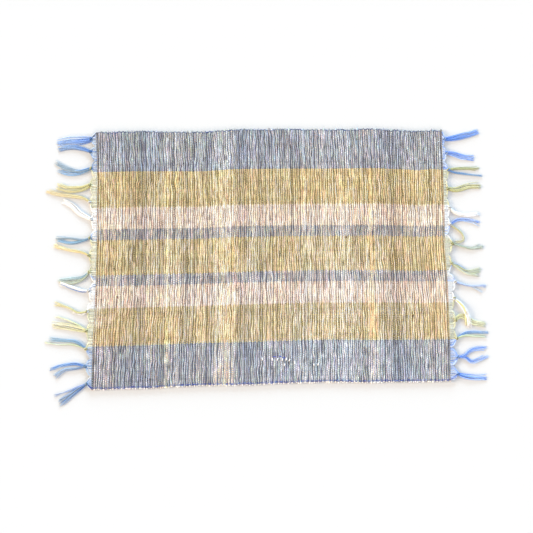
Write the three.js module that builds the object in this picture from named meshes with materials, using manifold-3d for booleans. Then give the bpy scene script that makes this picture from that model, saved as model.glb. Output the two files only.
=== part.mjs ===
// Handwoven placemat that lies flat: bundles of vetiver root are laid across a striped cotton
// warp, and the warp ends are knotted into tassels along both short edges.
// Millimetres, +Z up. The origin is under the centre of the woven field, X runs along the
// warp, and Y runs along the root bundles.
import * as THREE from "three";
import { mergeVertices } from "three/addons/utils/BufferGeometryUtils.js";
import Module from "manifold-3d";

const wasm = await Module();
wasm.setup();

// Driving dimensions of the woven field
const FIELD_LENGTH = 456;
const FIELD_WIDTH = 330;
const FIELD_THICKNESS = 3;
const FIELD_EDGE_ROUND = 0.5;
const EDGE_POINT_SPACING = 18;

// Driving dimensions of the knotted fringes
const FIELD_GAP = 0.3;
const HEADER_REACH = 2.6;
const HEADER_THICKNESS = 1.6;
const HEADER_CORNER_INSET = 1.5;
const FAN_SLIT = 1.6;
const FAN_OVERLAP = 0.6;
const FAN_NECK_WIDTH = 3.2;
const KNOT_DIAMETER = 4.6;
const KNOT_HEIGHT = 2.9;
const KNOT_SIDES = 8;
const KNOT_PROFILE = [
  { radiusShare: 0, heightShare: 0 },
  { radiusShare: 0.85, heightShare: 0 },
  { radiusShare: 1, heightShare: 0.35 },
  { radiusShare: 0.75, heightShare: 0.85 },
  { radiusShare: 0, heightShare: 1 },
];
const TAIL_THICKNESS = 2;
const TAIL_STEPS = 7;
const TAIL_WIDTH_AT_KNOT = 0.6;
const TAIL_WIDTH_AT_TIP = 0.75;

// How far each edge of the hand-beaten field stands outside its nominal line.
// at: place along the edge from its middle; out: distance outwards.
const TOP_EDGE = [
  { at: -228, out: -1.5 },
  { at: -183, out: -0.6 },
  { at: -138, out: -0.9 },
  { at: -92, out: -1.7 },
  { at: -64, out: 0 },
  { at: -48, out: 1.7 },
  { at: 30, out: 1.6 },
  { at: 80, out: 1 },
  { at: 132, out: 2.1 },
  { at: 163, out: 0.3 },
  { at: 199, out: -2.4 },
  { at: 215, out: 0.2 },
  { at: 228, out: -1.5 },
];
const BOTTOM_EDGE = [
  { at: -228, out: 1.9 },
  { at: -160, out: 1.4 },
  { at: -120, out: 0.1 },
  { at: -82, out: -0.8 },
  { at: -40, out: -0.2 },
  { at: 15, out: -1.6 },
  { at: 70, out: -2.1 },
  { at: 124, out: -0.5 },
  { at: 228, out: 0 },
];
const LEFT_EDGE = [
  { at: -165, out: 2.7 },
  { at: -114, out: 1.9 },
  { at: -62, out: -0.3 },
  { at: -29, out: -1.3 },
  { at: 22, out: -2.1 },
  { at: 68, out: -1.9 },
  { at: 112, out: -1.5 },
  { at: 165, out: 0.4 },
];
const RIGHT_EDGE = [
  { at: -165, out: -1.7 },
  { at: -113, out: -0.7 },
  { at: -76, out: -0.4 },
  { at: -36, out: -0.2 },
  { at: 4, out: -1.8 },
  { at: 40, out: -0.7 },
  { at: 77, out: 0 },
  { at: 117, out: 0.4 },
  { at: 165, out: 1.2 },
];

// Knots of each fringe, from the top edge down.
// at: place along the short edge; out: distance from the field's nominal end.
const LEFT_KNOTS = [
  { at: 155, out: 6.5 },
  { at: 139, out: 7 },
  { at: 116, out: 5.5 },
  { at: 95, out: 7 },
  { at: 72, out: 7 },
  { at: 49, out: 5.5 },
  { at: 24, out: 6.5 },
  { at: 2, out: 7.5 },
  { at: -19, out: 6.5 },
  { at: -42, out: 7.5 },
  { at: -69, out: 7.5 },
  { at: -93, out: 10 },
  { at: -115, out: 10 },
  { at: -137, out: 10.5 },
  { at: -160, out: 8 },
];
const RIGHT_KNOTS = [
  { at: 153, out: 6.5 },
  { at: 133, out: 7 },
  { at: 110, out: 8 },
  { at: 85, out: 6.5 },
  { at: 60, out: 7 },
  { at: 37, out: 6.5 },
  { at: 12, out: 7 },
  { at: -14, out: 6.5 },
  { at: -39, out: 9.5 },
  { at: -61, out: 6.5 },
  { at: -87, out: 7 },
  { at: -110, out: 7 },
  { at: -134, out: 7 },
  { at: -155, out: 6.5 },
];

// Loose tails of yarn that leave the knots.
// knot: its knot, counted from the top; near, far, tip: points [out, at] that it passes;
// width: its widest spread.
const LEFT_TAILS = [
  { knot: 1, near: [17, 154], far: [31, 155], tip: [50, 153], width: 8 },
  { knot: 2, near: [19, 145], far: [38, 145], tip: [49, 144], width: 5.5 },
  { knot: 3, near: [20, 111], far: [35, 111], tip: [49, 115], width: 4.5 },
  { knot: 3, near: [18, 112], far: [40, 119], tip: [54, 125], width: 3 },
  { knot: 4, near: [22, 91], far: [40, 91], tip: [50, 95], width: 5 },
  { knot: 5, near: [21, 80], far: [43, 81], tip: [62, 88], width: 4 },
  { knot: 6, near: [20, 57], far: [30, 67], tip: [42, 74], width: 6 },
  { knot: 7, near: [17, 23.5], far: [35, 27], tip: [50, 26], width: 3 },
  { knot: 7, near: [22, 20.5], far: [37, 21], tip: [48, 25], width: 3 },
  { knot: 8, near: [22, 10], far: [40, 13], tip: [50, 17], width: 4 },
  { knot: 9, near: [18, -29], far: [30, -31], tip: [47, -29], width: 8 },
  { knot: 10, near: [20, -42], far: [33, -36], tip: [43, -32], width: 3.5 },
  { knot: 11, near: [22, -69], far: [35, -62], tip: [50, -56], width: 4 },
  { knot: 12, near: [22, -87], far: [38, -86], tip: [53, -83], width: 7 },
  { knot: 12, near: [20, -87], far: [32, -79], tip: [49, -76], width: 3 },
  { knot: 13, near: [24, -106.5], far: [42, -105], tip: [57, -103], width: 4.5 },
  { knot: 13, near: [24, -109], far: [42, -109], tip: [60, -106], width: 4 },
  { knot: 14, near: [26, -134], far: [42, -137], tip: [55, -140], width: 4.5 },
  { knot: 14, near: [25, -135], far: [36, -143], tip: [48, -150], width: 3.5 },
  { knot: 15, near: [24, -168], far: [35, -175], tip: [45, -181], width: 5 },
  { knot: 15, near: [25, -168], far: [36, -171], tip: [49, -172], width: 4 },
  { knot: 15, near: [25, -169], far: [36, -177], tip: [41, -188], width: 4 },
];
const RIGHT_TAILS = [
  { knot: 1, near: [23, 154], far: [38, 161], tip: [50, 163], width: 7 },
  { knot: 2, near: [20, 131], far: [31, 128.5], tip: [43, 126], width: 7 },
  { knot: 3, near: [20, 112], far: [35, 113.5], tip: [50, 114], width: 3.5 },
  { knot: 3, near: [20, 107], far: [35, 104], tip: [53, 103], width: 3.5 },
  { knot: 4, near: [18, 82.5], far: [35, 89.5], tip: [51, 89], width: 6 },
  { knot: 5, near: [17, 51.5], far: [32, 51], tip: [47, 50], width: 5.5 },
  { knot: 6, near: [19, 44], far: [30, 43], tip: [47, 38], width: 4 },
  { knot: 6, near: [17, 27], far: [22, 18], tip: [8, 12], width: 3 },
  { knot: 7, near: [23, 7], far: [36, 5.5], tip: [49, 8], width: 3.5 },
  { knot: 8, near: [17, -21], far: [30, -26], tip: [45, -22], width: 6 },
  { knot: 8, near: [17, -22], far: [30, -27], tip: [43, -30], width: 3 },
  { knot: 9, near: [19, -41], far: [30, -43.5], tip: [50, -44], width: 4 },
  { knot: 9, near: [20, -42], far: [36, -48.5], tip: [46, -53], width: 3 },
  { knot: 10, near: [15, -71], far: [22, -86], tip: [25, -96], width: 7 },
  { knot: 10, near: [18, -78], far: [27, -98], tip: [38, -110], width: 3 },
  { knot: 11, near: [18, -84], far: [30, -93], tip: [46, -97], width: 4 },
  { knot: 12, near: [17, -103], far: [32, -103.5], tip: [49, -104], width: 6 },
  { knot: 13, near: [17, -129], far: [27, -124], tip: [45, -124], width: 4 },
  { knot: 13, near: [20, -138], far: [32, -139.5], tip: [47, -133], width: 4 },
  { knot: 14, near: [15, -159.5], far: [26, -161], tip: [43, -161], width: 6 },
];

const HALF_LENGTH = FIELD_LENGTH / 2;
const HALF_WIDTH = FIELD_WIDTH / 2;

// How far an edge stands out at a place along it, smoothly between the table's rows.
function edgeOut(table, at) {
  const last = table.length - 1;
  const place = THREE.MathUtils.clamp(at, table[0].at, table[last].at);
  const after = Math.max(1, table.findIndex((row) => row.at >= place));
  const low = table[after - 1];
  const high = table[after];
  const blend = THREE.MathUtils.smoothstep(place, low.at, high.at);
  return THREE.MathUtils.lerp(low.out, high.out, blend);
}

function longEdgeY(side, x) {
  const table = side > 0 ? TOP_EDGE : BOTTOM_EDGE;
  return side * (HALF_WIDTH + edgeOut(table, x));
}

function shortEdgeX(side, y) {
  const table = side > 0 ? RIGHT_EDGE : LEFT_EDGE;
  return side * (HALF_LENGTH + edgeOut(table, y));
}

// Evenly spaced places from one end of an edge up to, but without, the other end.
function placesAlong(from, to) {
  const count = Math.ceil(Math.abs(to - from) / EDGE_POINT_SPACING);
  return Array.from({ length: count }, (_, i) => THREE.MathUtils.lerp(from, to, i / count));
}

function fieldOutline() {
  const bottomLeft = new THREE.Vector2(shortEdgeX(-1, -HALF_WIDTH), longEdgeY(-1, -HALF_LENGTH));
  const bottomRight = new THREE.Vector2(shortEdgeX(1, -HALF_WIDTH), longEdgeY(-1, HALF_LENGTH));
  const topRight = new THREE.Vector2(shortEdgeX(1, HALF_WIDTH), longEdgeY(1, HALF_LENGTH));
  const topLeft = new THREE.Vector2(shortEdgeX(-1, HALF_WIDTH), longEdgeY(1, -HALF_LENGTH));
  const along = (from, to, side) => placesAlong(from.x, to.x)
    .map((x) => new THREE.Vector2(x, longEdgeY(side, x)));
  const across = (from, to, side) => placesAlong(from.y, to.y)
    .map((y) => new THREE.Vector2(shortEdgeX(side, y), y));
  return [
    ...along(bottomLeft, bottomRight, -1),
    ...across(bottomRight, topRight, 1),
    ...along(topRight, topLeft, 1),
    ...across(topLeft, bottomLeft, -1),
  ];
}

// Flat prism on the table plane, with its upper and lower edges rounded off.
function flatPrism(outline, thickness, edgeRound) {
  const geometry = new THREE.ExtrudeGeometry(new THREE.Shape(outline), {
    depth: thickness - 2 * edgeRound,
    bevelEnabled: edgeRound > 0,
    bevelThickness: edgeRound,
    bevelSize: edgeRound,
    bevelOffset: -edgeRound,
    bevelSegments: 1,
  });
  return geometry.translate(0, 0, edgeRound);
}

function solidOf(geometry) {
  geometry.deleteAttribute("normal");
  geometry.deleteAttribute("uv");
  const merged = mergeVertices(geometry);
  return new wasm.Manifold(new wasm.Mesh({
    numProp: 3,
    vertProperties: new Float32Array(merged.attributes.position.array),
    triVerts: new Uint32Array(merged.index.array),
  }));
}

function geometryOf(solid) {
  const mesh = solid.getMesh();
  const geometry = new THREE.BufferGeometry();
  geometry.setAttribute("position", new THREE.BufferAttribute(mesh.vertProperties, mesh.numProp));
  geometry.setIndex(new THREE.BufferAttribute(mesh.triVerts, 1));
  geometry.computeVertexNormals();
  return geometry;
}

// Bare warp that runs out of the field along the whole short edge.
function headerPrism(side) {
  const reach = HALF_WIDTH - HEADER_CORNER_INSET;
  const places = [...placesAlong(-reach, reach), reach];
  const lineAt = (out) => places.map((y) => new THREE.Vector2(shortEdgeX(side, y) + side * out, y));
  const inner = lineAt(FIELD_GAP);
  const outer = lineAt(FIELD_GAP + HEADER_REACH);
  return flatPrism([...inner, ...outer.reverse()], HEADER_THICKNESS, 0);
}

// Warp ends that draw together from a stretch of the short edge into one knot.
function fanPrism(side, knots, index) {
  const reach = HALF_WIDTH - HEADER_CORNER_INSET;
  const knot = knots[index];
  const above = index > 0 ? (knot.at + knots[index - 1].at) / 2 : reach;
  const below = index < knots.length - 1 ? (knot.at + knots[index + 1].at) / 2 : -reach;
  const high = above - FAN_SLIT / 2;
  const low = below + FAN_SLIT / 2;
  const foot = FIELD_GAP + HEADER_REACH - FAN_OVERLAP;
  const footAt = (y) => new THREE.Vector2(shortEdgeX(side, y) + side * foot, y);
  const neckX = side * (HALF_LENGTH + knot.out);
  const outline = [
    footAt(high),
    footAt((high + low) / 2),
    footAt(low),
    new THREE.Vector2(neckX, knot.at - FAN_NECK_WIDTH / 2),
    new THREE.Vector2(neckX, knot.at + FAN_NECK_WIDTH / 2),
  ];
  return flatPrism(outline, HEADER_THICKNESS, 0);
}

// Domed lump of a knot, flat underneath where it lies.
function knotLump(side, knot) {
  const profile = KNOT_PROFILE.map(({ radiusShare, heightShare }) => new THREE.Vector2(
    radiusShare * KNOT_DIAMETER / 2,
    heightShare * KNOT_HEIGHT,
  ));
  const lump = new THREE.LatheGeometry(profile, KNOT_SIDES);
  lump.rotateX(Math.PI / 2);
  return lump.translate(side * (HALF_LENGTH + knot.out), knot.at, 0);
}

// Flattened tail of yarn, drawn in at its knot, spread beyond it and frayed to its tip.
function tailPrism(side, knots, tail) {
  const knot = knots[tail.knot - 1];
  const place = ([out, at]) => new THREE.Vector2(side * (HALF_LENGTH + out), at);
  const route = new THREE.SplineCurve([[knot.out, knot.at], tail.near, tail.far, tail.tip].map(place));
  const left = [];
  const right = [];
  for (let step = 0; step <= TAIL_STEPS; step += 1) {
    const t = step / TAIL_STEPS;
    const ends = THREE.MathUtils.lerp(TAIL_WIDTH_AT_KNOT, TAIL_WIDTH_AT_TIP, t);
    const share = THREE.MathUtils.lerp(ends, 1, Math.sin(Math.PI * t));
    const point = route.getPointAt(t);
    const tangent = route.getTangentAt(t);
    const sideways = new THREE.Vector2(-tangent.y, tangent.x).multiplyScalar(share * tail.width / 2);
    left.push(point.clone().add(sideways));
    right.push(point.clone().sub(sideways));
  }
  return flatPrism([...right, ...left.reverse()], TAIL_THICKNESS, 0);
}

function fringeGeometry(side, knots, tails) {
  const pieces = [
    ...knots.map((_, index) => fanPrism(side, knots, index)),
    ...knots.map((knot) => knotLump(side, knot)),
    ...tails.map((tail) => tailPrism(side, knots, tail)),
  ];
  const comb = pieces.reduce((whole, piece) => whole.add(solidOf(piece)), solidOf(headerPrism(side)));
  return geometryOf(comb);
}

function namedMesh(name, geometry, color) {
  const material = new THREE.MeshStandardMaterial({ color, roughness: 0.95, metalness: 0 });
  const mesh = new THREE.Mesh(geometry, material);
  mesh.name = name;
  return mesh;
}

const STRAW_WEAVE = 0xc6b9a8;
const BLUE_AND_CREAM_YARN = 0xb9c6dd;

const placemat = new THREE.Group();
placemat.add(
  namedMesh("woven_field", flatPrism(fieldOutline(), FIELD_THICKNESS, FIELD_EDGE_ROUND), STRAW_WEAVE),
  namedMesh("fringe_left", fringeGeometry(-1, LEFT_KNOTS, LEFT_TAILS), BLUE_AND_CREAM_YARN),
  namedMesh("fringe_right", fringeGeometry(1, RIGHT_KNOTS, RIGHT_TAILS), BLUE_AND_CREAM_YARN),
);

export default placemat;
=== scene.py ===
"""Dresses the woven vetiver placemat: root bundles, striped cotton warp and knotted fringes."""

import logging
import math
from dataclasses import dataclass
from enum import Enum

import bpy
import numpy as np
from mathutils import Matrix, Vector

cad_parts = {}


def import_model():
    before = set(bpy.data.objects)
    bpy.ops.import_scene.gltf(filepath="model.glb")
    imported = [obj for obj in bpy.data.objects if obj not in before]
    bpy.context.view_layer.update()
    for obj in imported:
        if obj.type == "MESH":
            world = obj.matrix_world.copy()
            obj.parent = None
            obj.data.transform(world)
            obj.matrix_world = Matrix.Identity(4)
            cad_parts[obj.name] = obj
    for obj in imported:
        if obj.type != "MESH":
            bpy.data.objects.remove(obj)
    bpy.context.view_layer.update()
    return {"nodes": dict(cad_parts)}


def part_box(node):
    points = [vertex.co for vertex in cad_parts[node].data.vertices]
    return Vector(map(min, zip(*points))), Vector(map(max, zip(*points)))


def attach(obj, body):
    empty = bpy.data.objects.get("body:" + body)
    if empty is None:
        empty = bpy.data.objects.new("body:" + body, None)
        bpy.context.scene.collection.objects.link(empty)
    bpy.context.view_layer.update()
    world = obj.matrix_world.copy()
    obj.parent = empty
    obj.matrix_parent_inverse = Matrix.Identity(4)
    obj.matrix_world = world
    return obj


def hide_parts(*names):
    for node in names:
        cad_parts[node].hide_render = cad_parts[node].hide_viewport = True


MM = 0.001
HALF_LENGTH = 228 * MM
HALF_WIDTH = 165 * MM
BODY = "root"
TINT = "tint"
ACROSS = "across"
STRAND_MAP = "Strand"
BAKE_MAP = "OFBake"
ROOT_SLOT = "root_weave"
COTTON_SLOT = "cotton_yarn"
CURVE_KNEE = 0.04045
CURVE_SLOPE = 12.92
CURVE_OFFSET = 0.055
CURVE_POWER = 2.4
LOG = logging.getLogger("placemat")

Colour = tuple[float, float, float]
Place = tuple[float, float]
Span = tuple[float, float]
Random = np.random.Generator
Socket = bpy.types.NodeSocket


def linear(red: int, green: int, blue: int) -> Colour:
    """Turns a display colour into scene-linear light, by the standard curve of displays.

    Args:
        red: Red, 0 to 255.
        green: Green, 0 to 255.
        blue: Blue, 0 to 255.

    Returns:
        The linear colour, each part 0 to 1.
    """
    def part(value: int) -> float:
        """Linear value of one part."""
        share = value / 255
        if share <= CURVE_KNEE:
            return share / CURVE_SLOPE
        return ((share + CURVE_OFFSET) / (1 + CURVE_OFFSET)) ** CURVE_POWER

    return part(red), part(green), part(blue)


def smooth(values: np.ndarray, columns: int) -> np.ndarray:
    """Samples rows of values evenly, easing from each value to the next.

    Args:
        values: Values that each row passes through, (row, station, ...).
        columns: Samples along each row.

    Returns:
        An array of (row, column, ...).
    """
    stations = values.shape[1] - 1
    place = np.linspace(0.0, stations, columns)
    low = np.minimum(place.astype(int), stations - 1)
    share = place - low
    share = (share * share * (3 - 2 * share)).reshape(-1, *[1] * (values.ndim - 2))
    return values[:, low] * (1 - share) + values[:, low + 1] * share


@dataclass(frozen=True)
class Drift:
    """Smooth random change along strands: how far it goes either way, and its steps along a strand."""

    size: float
    steps: int

    def along(self, rng: Random, rows: int, columns: int) -> np.ndarray:
        """Draws one smooth line for each strand.

        Args:
            rng: Source of the random values.
            rows: Number of strands.
            columns: Points along each strand.

        Returns:
            An array of rows by columns, -size to size.
        """
        return self.size * smooth(rng.uniform(-1.0, 1.0, (rows, self.steps + 1)), columns)


class Yarn(Enum):
    """Cotton yarns of the warp."""

    BLUE = "blue"
    YELLOW = "yellow"
    WHITE = "white"


class Edge(Enum):
    """Edges of the woven field, as seen from above."""

    LEFT = "left"
    RIGHT = "right"
    BOTTOM = "bottom"
    TOP = "top"

    @property
    def outward(self) -> int:
        """Sign of the way out of the field, along X at a short edge and along Y at a long one."""
        return 1 if self in (Edge.RIGHT, Edge.TOP) else -1


YARN_COLOUR: dict[Yarn, Colour] = {
    Yarn.BLUE: linear(160, 165, 183),
    Yarn.YELLOW: linear(221, 201, 137),
    Yarn.WHITE: linear(234, 218, 206),
}


@dataclass(frozen=True)
class Band:
    """One stripe of the warp: its upper edge, its yarn and the cast that its fuzz gives the roots."""

    top: float
    yarn: Yarn
    cast: Colour


BANDS = (
    Band(-112 * MM, Yarn.BLUE, (0.87, 1.12, 1.84)),
    Band(-64.5 * MM, Yarn.YELLOW, (1.07, 1.11, 1.43)),
    Band(-36.5 * MM, Yarn.WHITE, (1.57, 1.54, 1.99)),
    Band(-23 * MM, Yarn.BLUE, (1.09, 1.22, 1.69)),
    Band(23 * MM, Yarn.YELLOW, (1.09, 1.15, 1.43)),
    Band(36.5 * MM, Yarn.BLUE, (0.995, 1.1, 1.4)),
    Band(64.5 * MM, Yarn.WHITE, (1.6, 1.56, 1.98)),
    Band(112 * MM, Yarn.YELLOW, (1.07, 1.11, 1.27)),
    Band(HALF_WIDTH, Yarn.BLUE, (0.787, 1.02, 1.67)),
)


@dataclass(frozen=True)
class Grain:
    """Noise laid along a strand, and the gains that its span of values gives.

    along is repeats for each millimetre of length, around is repeats for once round the strand, and levels
    is the number of finer levels.
    """

    along: float
    around: float
    levels: float
    low: float = 0.0
    high: float = 1.0
    span: Span = (0.0, 1.0)


class NodeSheet:
    """Small helper that adds and joins shader nodes of one material."""

    def __init__(self, name: str) -> None:
        """Starts an empty material of this name."""
        self.material = bpy.data.materials.new(name)
        self.material.use_nodes = True
        self.tree = self.material.node_tree
        self.tree.nodes.clear()

    def add(self, kind: str, **settings: object) -> bpy.types.Node:
        """Adds a node.

        Args:
            kind: Blender's node type.
            settings: Node properties, or inputs by name with spaces as underscores.

        Returns:
            The new node.
        """
        node = self.tree.nodes.new(kind)
        for key, value in settings.items():
            if hasattr(node, key):
                setattr(node, key, value)
            else:
                node.inputs[key.replace("_", " ")].default_value = value
        return node

    def join(self, source: Socket, target: Socket) -> None:
        """Links an output to an input."""
        self.tree.links.new(source, target)

    def ramp(self, source: Socket, low: float, high: float, span: Span = (0.0, 1.0)) -> Socket:
        """Maps a value onto a range.

        Args:
            source: The value.
            low: Result at the lower end of the span, and below it.
            high: Result at the upper end, and above it.
            span: The values that the range stands for.

        Returns:
            The result.
        """
        node = self.add("ShaderNodeMapRange", From_Min=span[0], From_Max=span[1], To_Min=low, To_Max=high)
        self.join(source, node.inputs["Value"])
        return node.outputs["Result"]

    def noise(self, grain: Grain) -> Socket:
        """Lays noise along every strand.

        Args:
            grain: Scale and fineness of the noise.

        Returns:
            The noise value, 0 to 1.
        """
        place = self.add("ShaderNodeUVMap", uv_map=STRAND_MAP)
        mapping = self.add("ShaderNodeMapping", Scale=(grain.along, grain.around, 1.0))
        noise = self.add("ShaderNodeTexNoise", noise_dimensions="2D", Scale=1.0, Detail=grain.levels)
        self.join(place.outputs["UV"], mapping.inputs["Vector"])
        self.join(mapping.outputs["Vector"], noise.inputs["Vector"])
        return noise.outputs["Fac"]

    def shaded(self, colour: Socket, factor: Socket) -> Socket:
        """Multiplies a colour by a factor.

        Args:
            colour: The colour.
            factor: A grey value or a colour.

        Returns:
            The product.
        """
        node = self.add("ShaderNodeVectorMath", operation="MULTIPLY")
        self.join(colour, node.inputs[0])
        self.join(factor, node.inputs[1])
        return node.outputs["Vector"]

    def toned(self, colour: Socket, grain: Grain, scale: float = 1.0) -> Socket:
        """Lightens and darkens a colour by noise.

        Args:
            colour: The colour.
            grain: The noise and its gains.
            scale: Multiplies both gains.

        Returns:
            The uneven colour.
        """
        factor = self.ramp(self.noise(grain), scale * grain.low, scale * grain.high, grain.span)
        return self.shaded(colour, factor)

    def bumped(self, height: Socket, strength: float, depth: float) -> Socket:
        """Turns a height into a bumped normal.

        Args:
            height: The height, 0 to 1.
            strength: Strength of the bump.
            depth: Depth of the relief, in metres.

        Returns:
            The normal.
        """
        bump = self.add("ShaderNodeBump", Strength=strength, Distance=depth)
        self.join(height, bump.inputs["Height"])
        return bump.outputs["Normal"]

    def surface(self, shader: bpy.types.Node) -> bpy.types.Material:
        """Gives the material its shader.

        Args:
            shader: Shader of the whole surface.

        Returns:
            The material.
        """
        output = self.add("ShaderNodeOutputMaterial")
        self.join(shader.outputs["BSDF"], output.inputs["Surface"])
        return self.material


@dataclass(frozen=True)
class RootFinish:
    """Dry vetiver root: matte, with fibre streaks, small dents and the cast of the stripe's yarn.

    The ramp of the stripes holds each cast divided by cast_scale, which keeps it in a colour's range, and
    the flecks' gains multiply it back.
    """

    name: str = "vetiver_root"
    roughness: Span = (0.76, 0.96)
    specular: float = 0.25
    streak: Grain = Grain(0.09, 6.0, 3.0, 0.82, 1.2, (0.27, 0.73))
    fleck: Grain = Grain(0.2, 4.0, 2.0, 0.65, 1.37, (0.27, 0.73))
    dent: Grain = Grain(1.3, 9.0, 2.0)
    cast_scale: float = 2.0
    brightest: float = 0.95
    bump_strength: float = 0.6
    bump_depth: float = 0.12 * MM

    def material(self) -> bpy.types.Material:
        """Builds the node material.

        Returns:
            The material.
        """
        sheet = NodeSheet(self.name)
        tint = sheet.add("ShaderNodeAttribute", attribute_name=TINT)
        colour = sheet.toned(tint.outputs["Color"], self.streak)
        colour = sheet.toned(colour, self.fleck, self.cast_scale)
        colour = sheet.shaded(colour, self.stripes(sheet))
        limit = sheet.add("ShaderNodeVectorMath", operation="MINIMUM")
        limit.inputs[1].default_value = (self.brightest, self.brightest, self.brightest)
        sheet.join(colour, limit.inputs[0])
        dents = sheet.noise(self.dent)
        shader = sheet.add("ShaderNodeBsdfPrincipled", Specular_IOR_Level=self.specular)
        sheet.join(limit.outputs["Vector"], shader.inputs["Base Color"])
        sheet.join(sheet.ramp(dents, *self.roughness), shader.inputs["Roughness"])
        sheet.join(sheet.bumped(dents, self.bump_strength, self.bump_depth), shader.inputs["Normal"])
        return sheet.surface(shader)

    def stripes(self, sheet: NodeSheet) -> Socket:
        """Lays out the yarns' casts in stripes with crisp edges.

        Args:
            sheet: Material that takes the nodes.

        Returns:
            The cast divided by its scale.
        """
        across = sheet.add("ShaderNodeAttribute", attribute_name=ACROSS)
        stripes = sheet.add("ShaderNodeValToRGB")
        stripes.color_ramp.interpolation = "CONSTANT"
        elements = stripes.color_ramp.elements
        elements.remove(elements[1])
        start = 0.0
        for number, band in enumerate(BANDS):
            element = elements[0] if number == 0 else elements.new(start)
            element.position = start
            element.color = (*(part / self.cast_scale for part in band.cast), 1.0)
            start = (band.top + HALF_WIDTH) / (2 * HALF_WIDTH)
        sheet.join(across.outputs["Fac"], stripes.inputs["Fac"])
        return stripes.outputs["Color"]


@dataclass(frozen=True)
class CottonFinish:
    """Soft two-ply cotton: matte, with a ply twist, painted groove shade, a fuzzy sheen and uneven dye."""

    name: str = "cotton_yarn"
    roughness: float = 0.92
    specular: float = 0.15
    sheen: float = 0.25
    plies: int = 2
    twists_per_mm: float = 0.55
    ply_groove_shade: float = 0.87
    dye: Grain = Grain(0.22, 1.5, 3.0, 0.88, 1.12)
    bump_strength: float = 0.7
    bump_depth: float = 0.18 * MM

    def material(self) -> bpy.types.Material:
        """Builds the node material.

        Returns:
            The material.
        """
        sheet = NodeSheet(self.name)
        tint = sheet.add("ShaderNodeAttribute", attribute_name=TINT)
        ply = self.ply_twist(sheet)
        colour = sheet.toned(tint.outputs["Color"], self.dye)
        # painted shade: the colour darkens in the grooves between the plies
        colour = sheet.shaded(colour, sheet.ramp(ply, self.ply_groove_shade, 1.0))
        shader = sheet.add(
            "ShaderNodeBsdfPrincipled",
            Roughness=self.roughness,
            Specular_IOR_Level=self.specular,
            Sheen_Weight=self.sheen,
        )
        sheet.join(colour, shader.inputs["Base Color"])
        sheet.join(sheet.bumped(ply, self.bump_strength, self.bump_depth), shader.inputs["Normal"])
        return sheet.surface(shader)

    def ply_twist(self, sheet: NodeSheet) -> Socket:
        """Winds the plies' ridges round the yarn.

        Args:
            sheet: Material that takes the nodes.

        Returns:
            Ridge height, 0 to 1.
        """
        place = sheet.add("ShaderNodeUVMap", uv_map=STRAND_MAP)
        parts = sheet.add("ShaderNodeSeparateXYZ")
        along = sheet.add("ShaderNodeMath", operation="MULTIPLY_ADD")
        along.inputs[1].default_value = self.twists_per_mm
        turn = sheet.add("ShaderNodeMath", operation="MULTIPLY")
        turn.inputs[1].default_value = self.plies * math.tau
        wave = sheet.add("ShaderNodeMath", operation="COSINE")
        sheet.join(place.outputs["UV"], parts.inputs["Vector"])
        sheet.join(parts.outputs["X"], along.inputs[0])
        sheet.join(parts.outputs["Y"], along.inputs[2])
        sheet.join(along.outputs["Value"], turn.inputs[0])
        sheet.join(turn.outputs["Value"], wave.inputs[0])
        return sheet.ramp(wave.outputs["Value"], 0.0, 1.0, (-1.0, 1.0))


@dataclass(frozen=True)
class FloorFinish:
    """Plain white matte table surface."""

    name: str = "white_surface"
    colour: Colour = (0.72, 0.72, 0.72)
    roughness: float = 0.9
    specular: float = 0.0

    def material(self) -> bpy.types.Material:
        """Builds the material.

        Returns:
            The material.
        """
        sheet = NodeSheet(self.name)
        return sheet.surface(sheet.add(
            "ShaderNodeBsdfPrincipled",
            Base_Color=(*self.colour, 1.0),
            Roughness=self.roughness,
            Specular_IOR_Level=self.specular,
        ))


@dataclass
class Strands:
    """Strands with the same number of points, each a closed tube.

    centres is (strand, point, 3); half_width and half_height are (strand, point); tints is
    (strand, point, side, 3); bulge, where given, is (strand, point, side) and scales the section;
    across, where given, is (strand, point), the share of the way from the bottom edge to the top; turn is
    the angle of the section's first corner, which is at the top unless it is given.
    """

    centres: np.ndarray
    half_width: np.ndarray
    half_height: np.ndarray
    tints: np.ndarray
    bulge: np.ndarray | None = None
    across: np.ndarray | None = None
    turn: float = math.pi / 2

    @property
    def sides(self) -> int:
        """Corners of the tubes' section."""
        return self.tints.shape[2]

    def points(self) -> np.ndarray:
        """Works out the corner points of every ring.

        Returns:
            An array of (strand, point, side, 3), in metres.
        """
        along = np.gradient(self.centres, axis=1)
        along /= np.linalg.norm(along, axis=2, keepdims=True)
        across = np.cross((0.0, 0.0, 1.0), along)
        across /= np.linalg.norm(across, axis=2, keepdims=True)
        upward = np.cross(along, across)
        angle = self.turn + math.tau * np.arange(self.sides) / self.sides
        bulge = np.ones((1, 1, 1)) if self.bulge is None else self.bulge
        wide = self.half_width[:, :, None] * np.cos(angle) * bulge
        high = self.half_height[:, :, None] * np.sin(angle) * bulge
        return (
            self.centres[:, :, None, :]
            + across[:, :, None, :] * wide[..., None]
            + upward[:, :, None, :] * high[..., None]
        )

    def lengths(self) -> np.ndarray:
        """Distance along each strand at each of its points, in millimetres."""
        steps = np.linalg.norm(np.diff(self.centres, axis=1), axis=2) / MM
        return np.concatenate([np.zeros((len(steps), 1)), np.cumsum(steps, axis=1)], axis=1)


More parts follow.
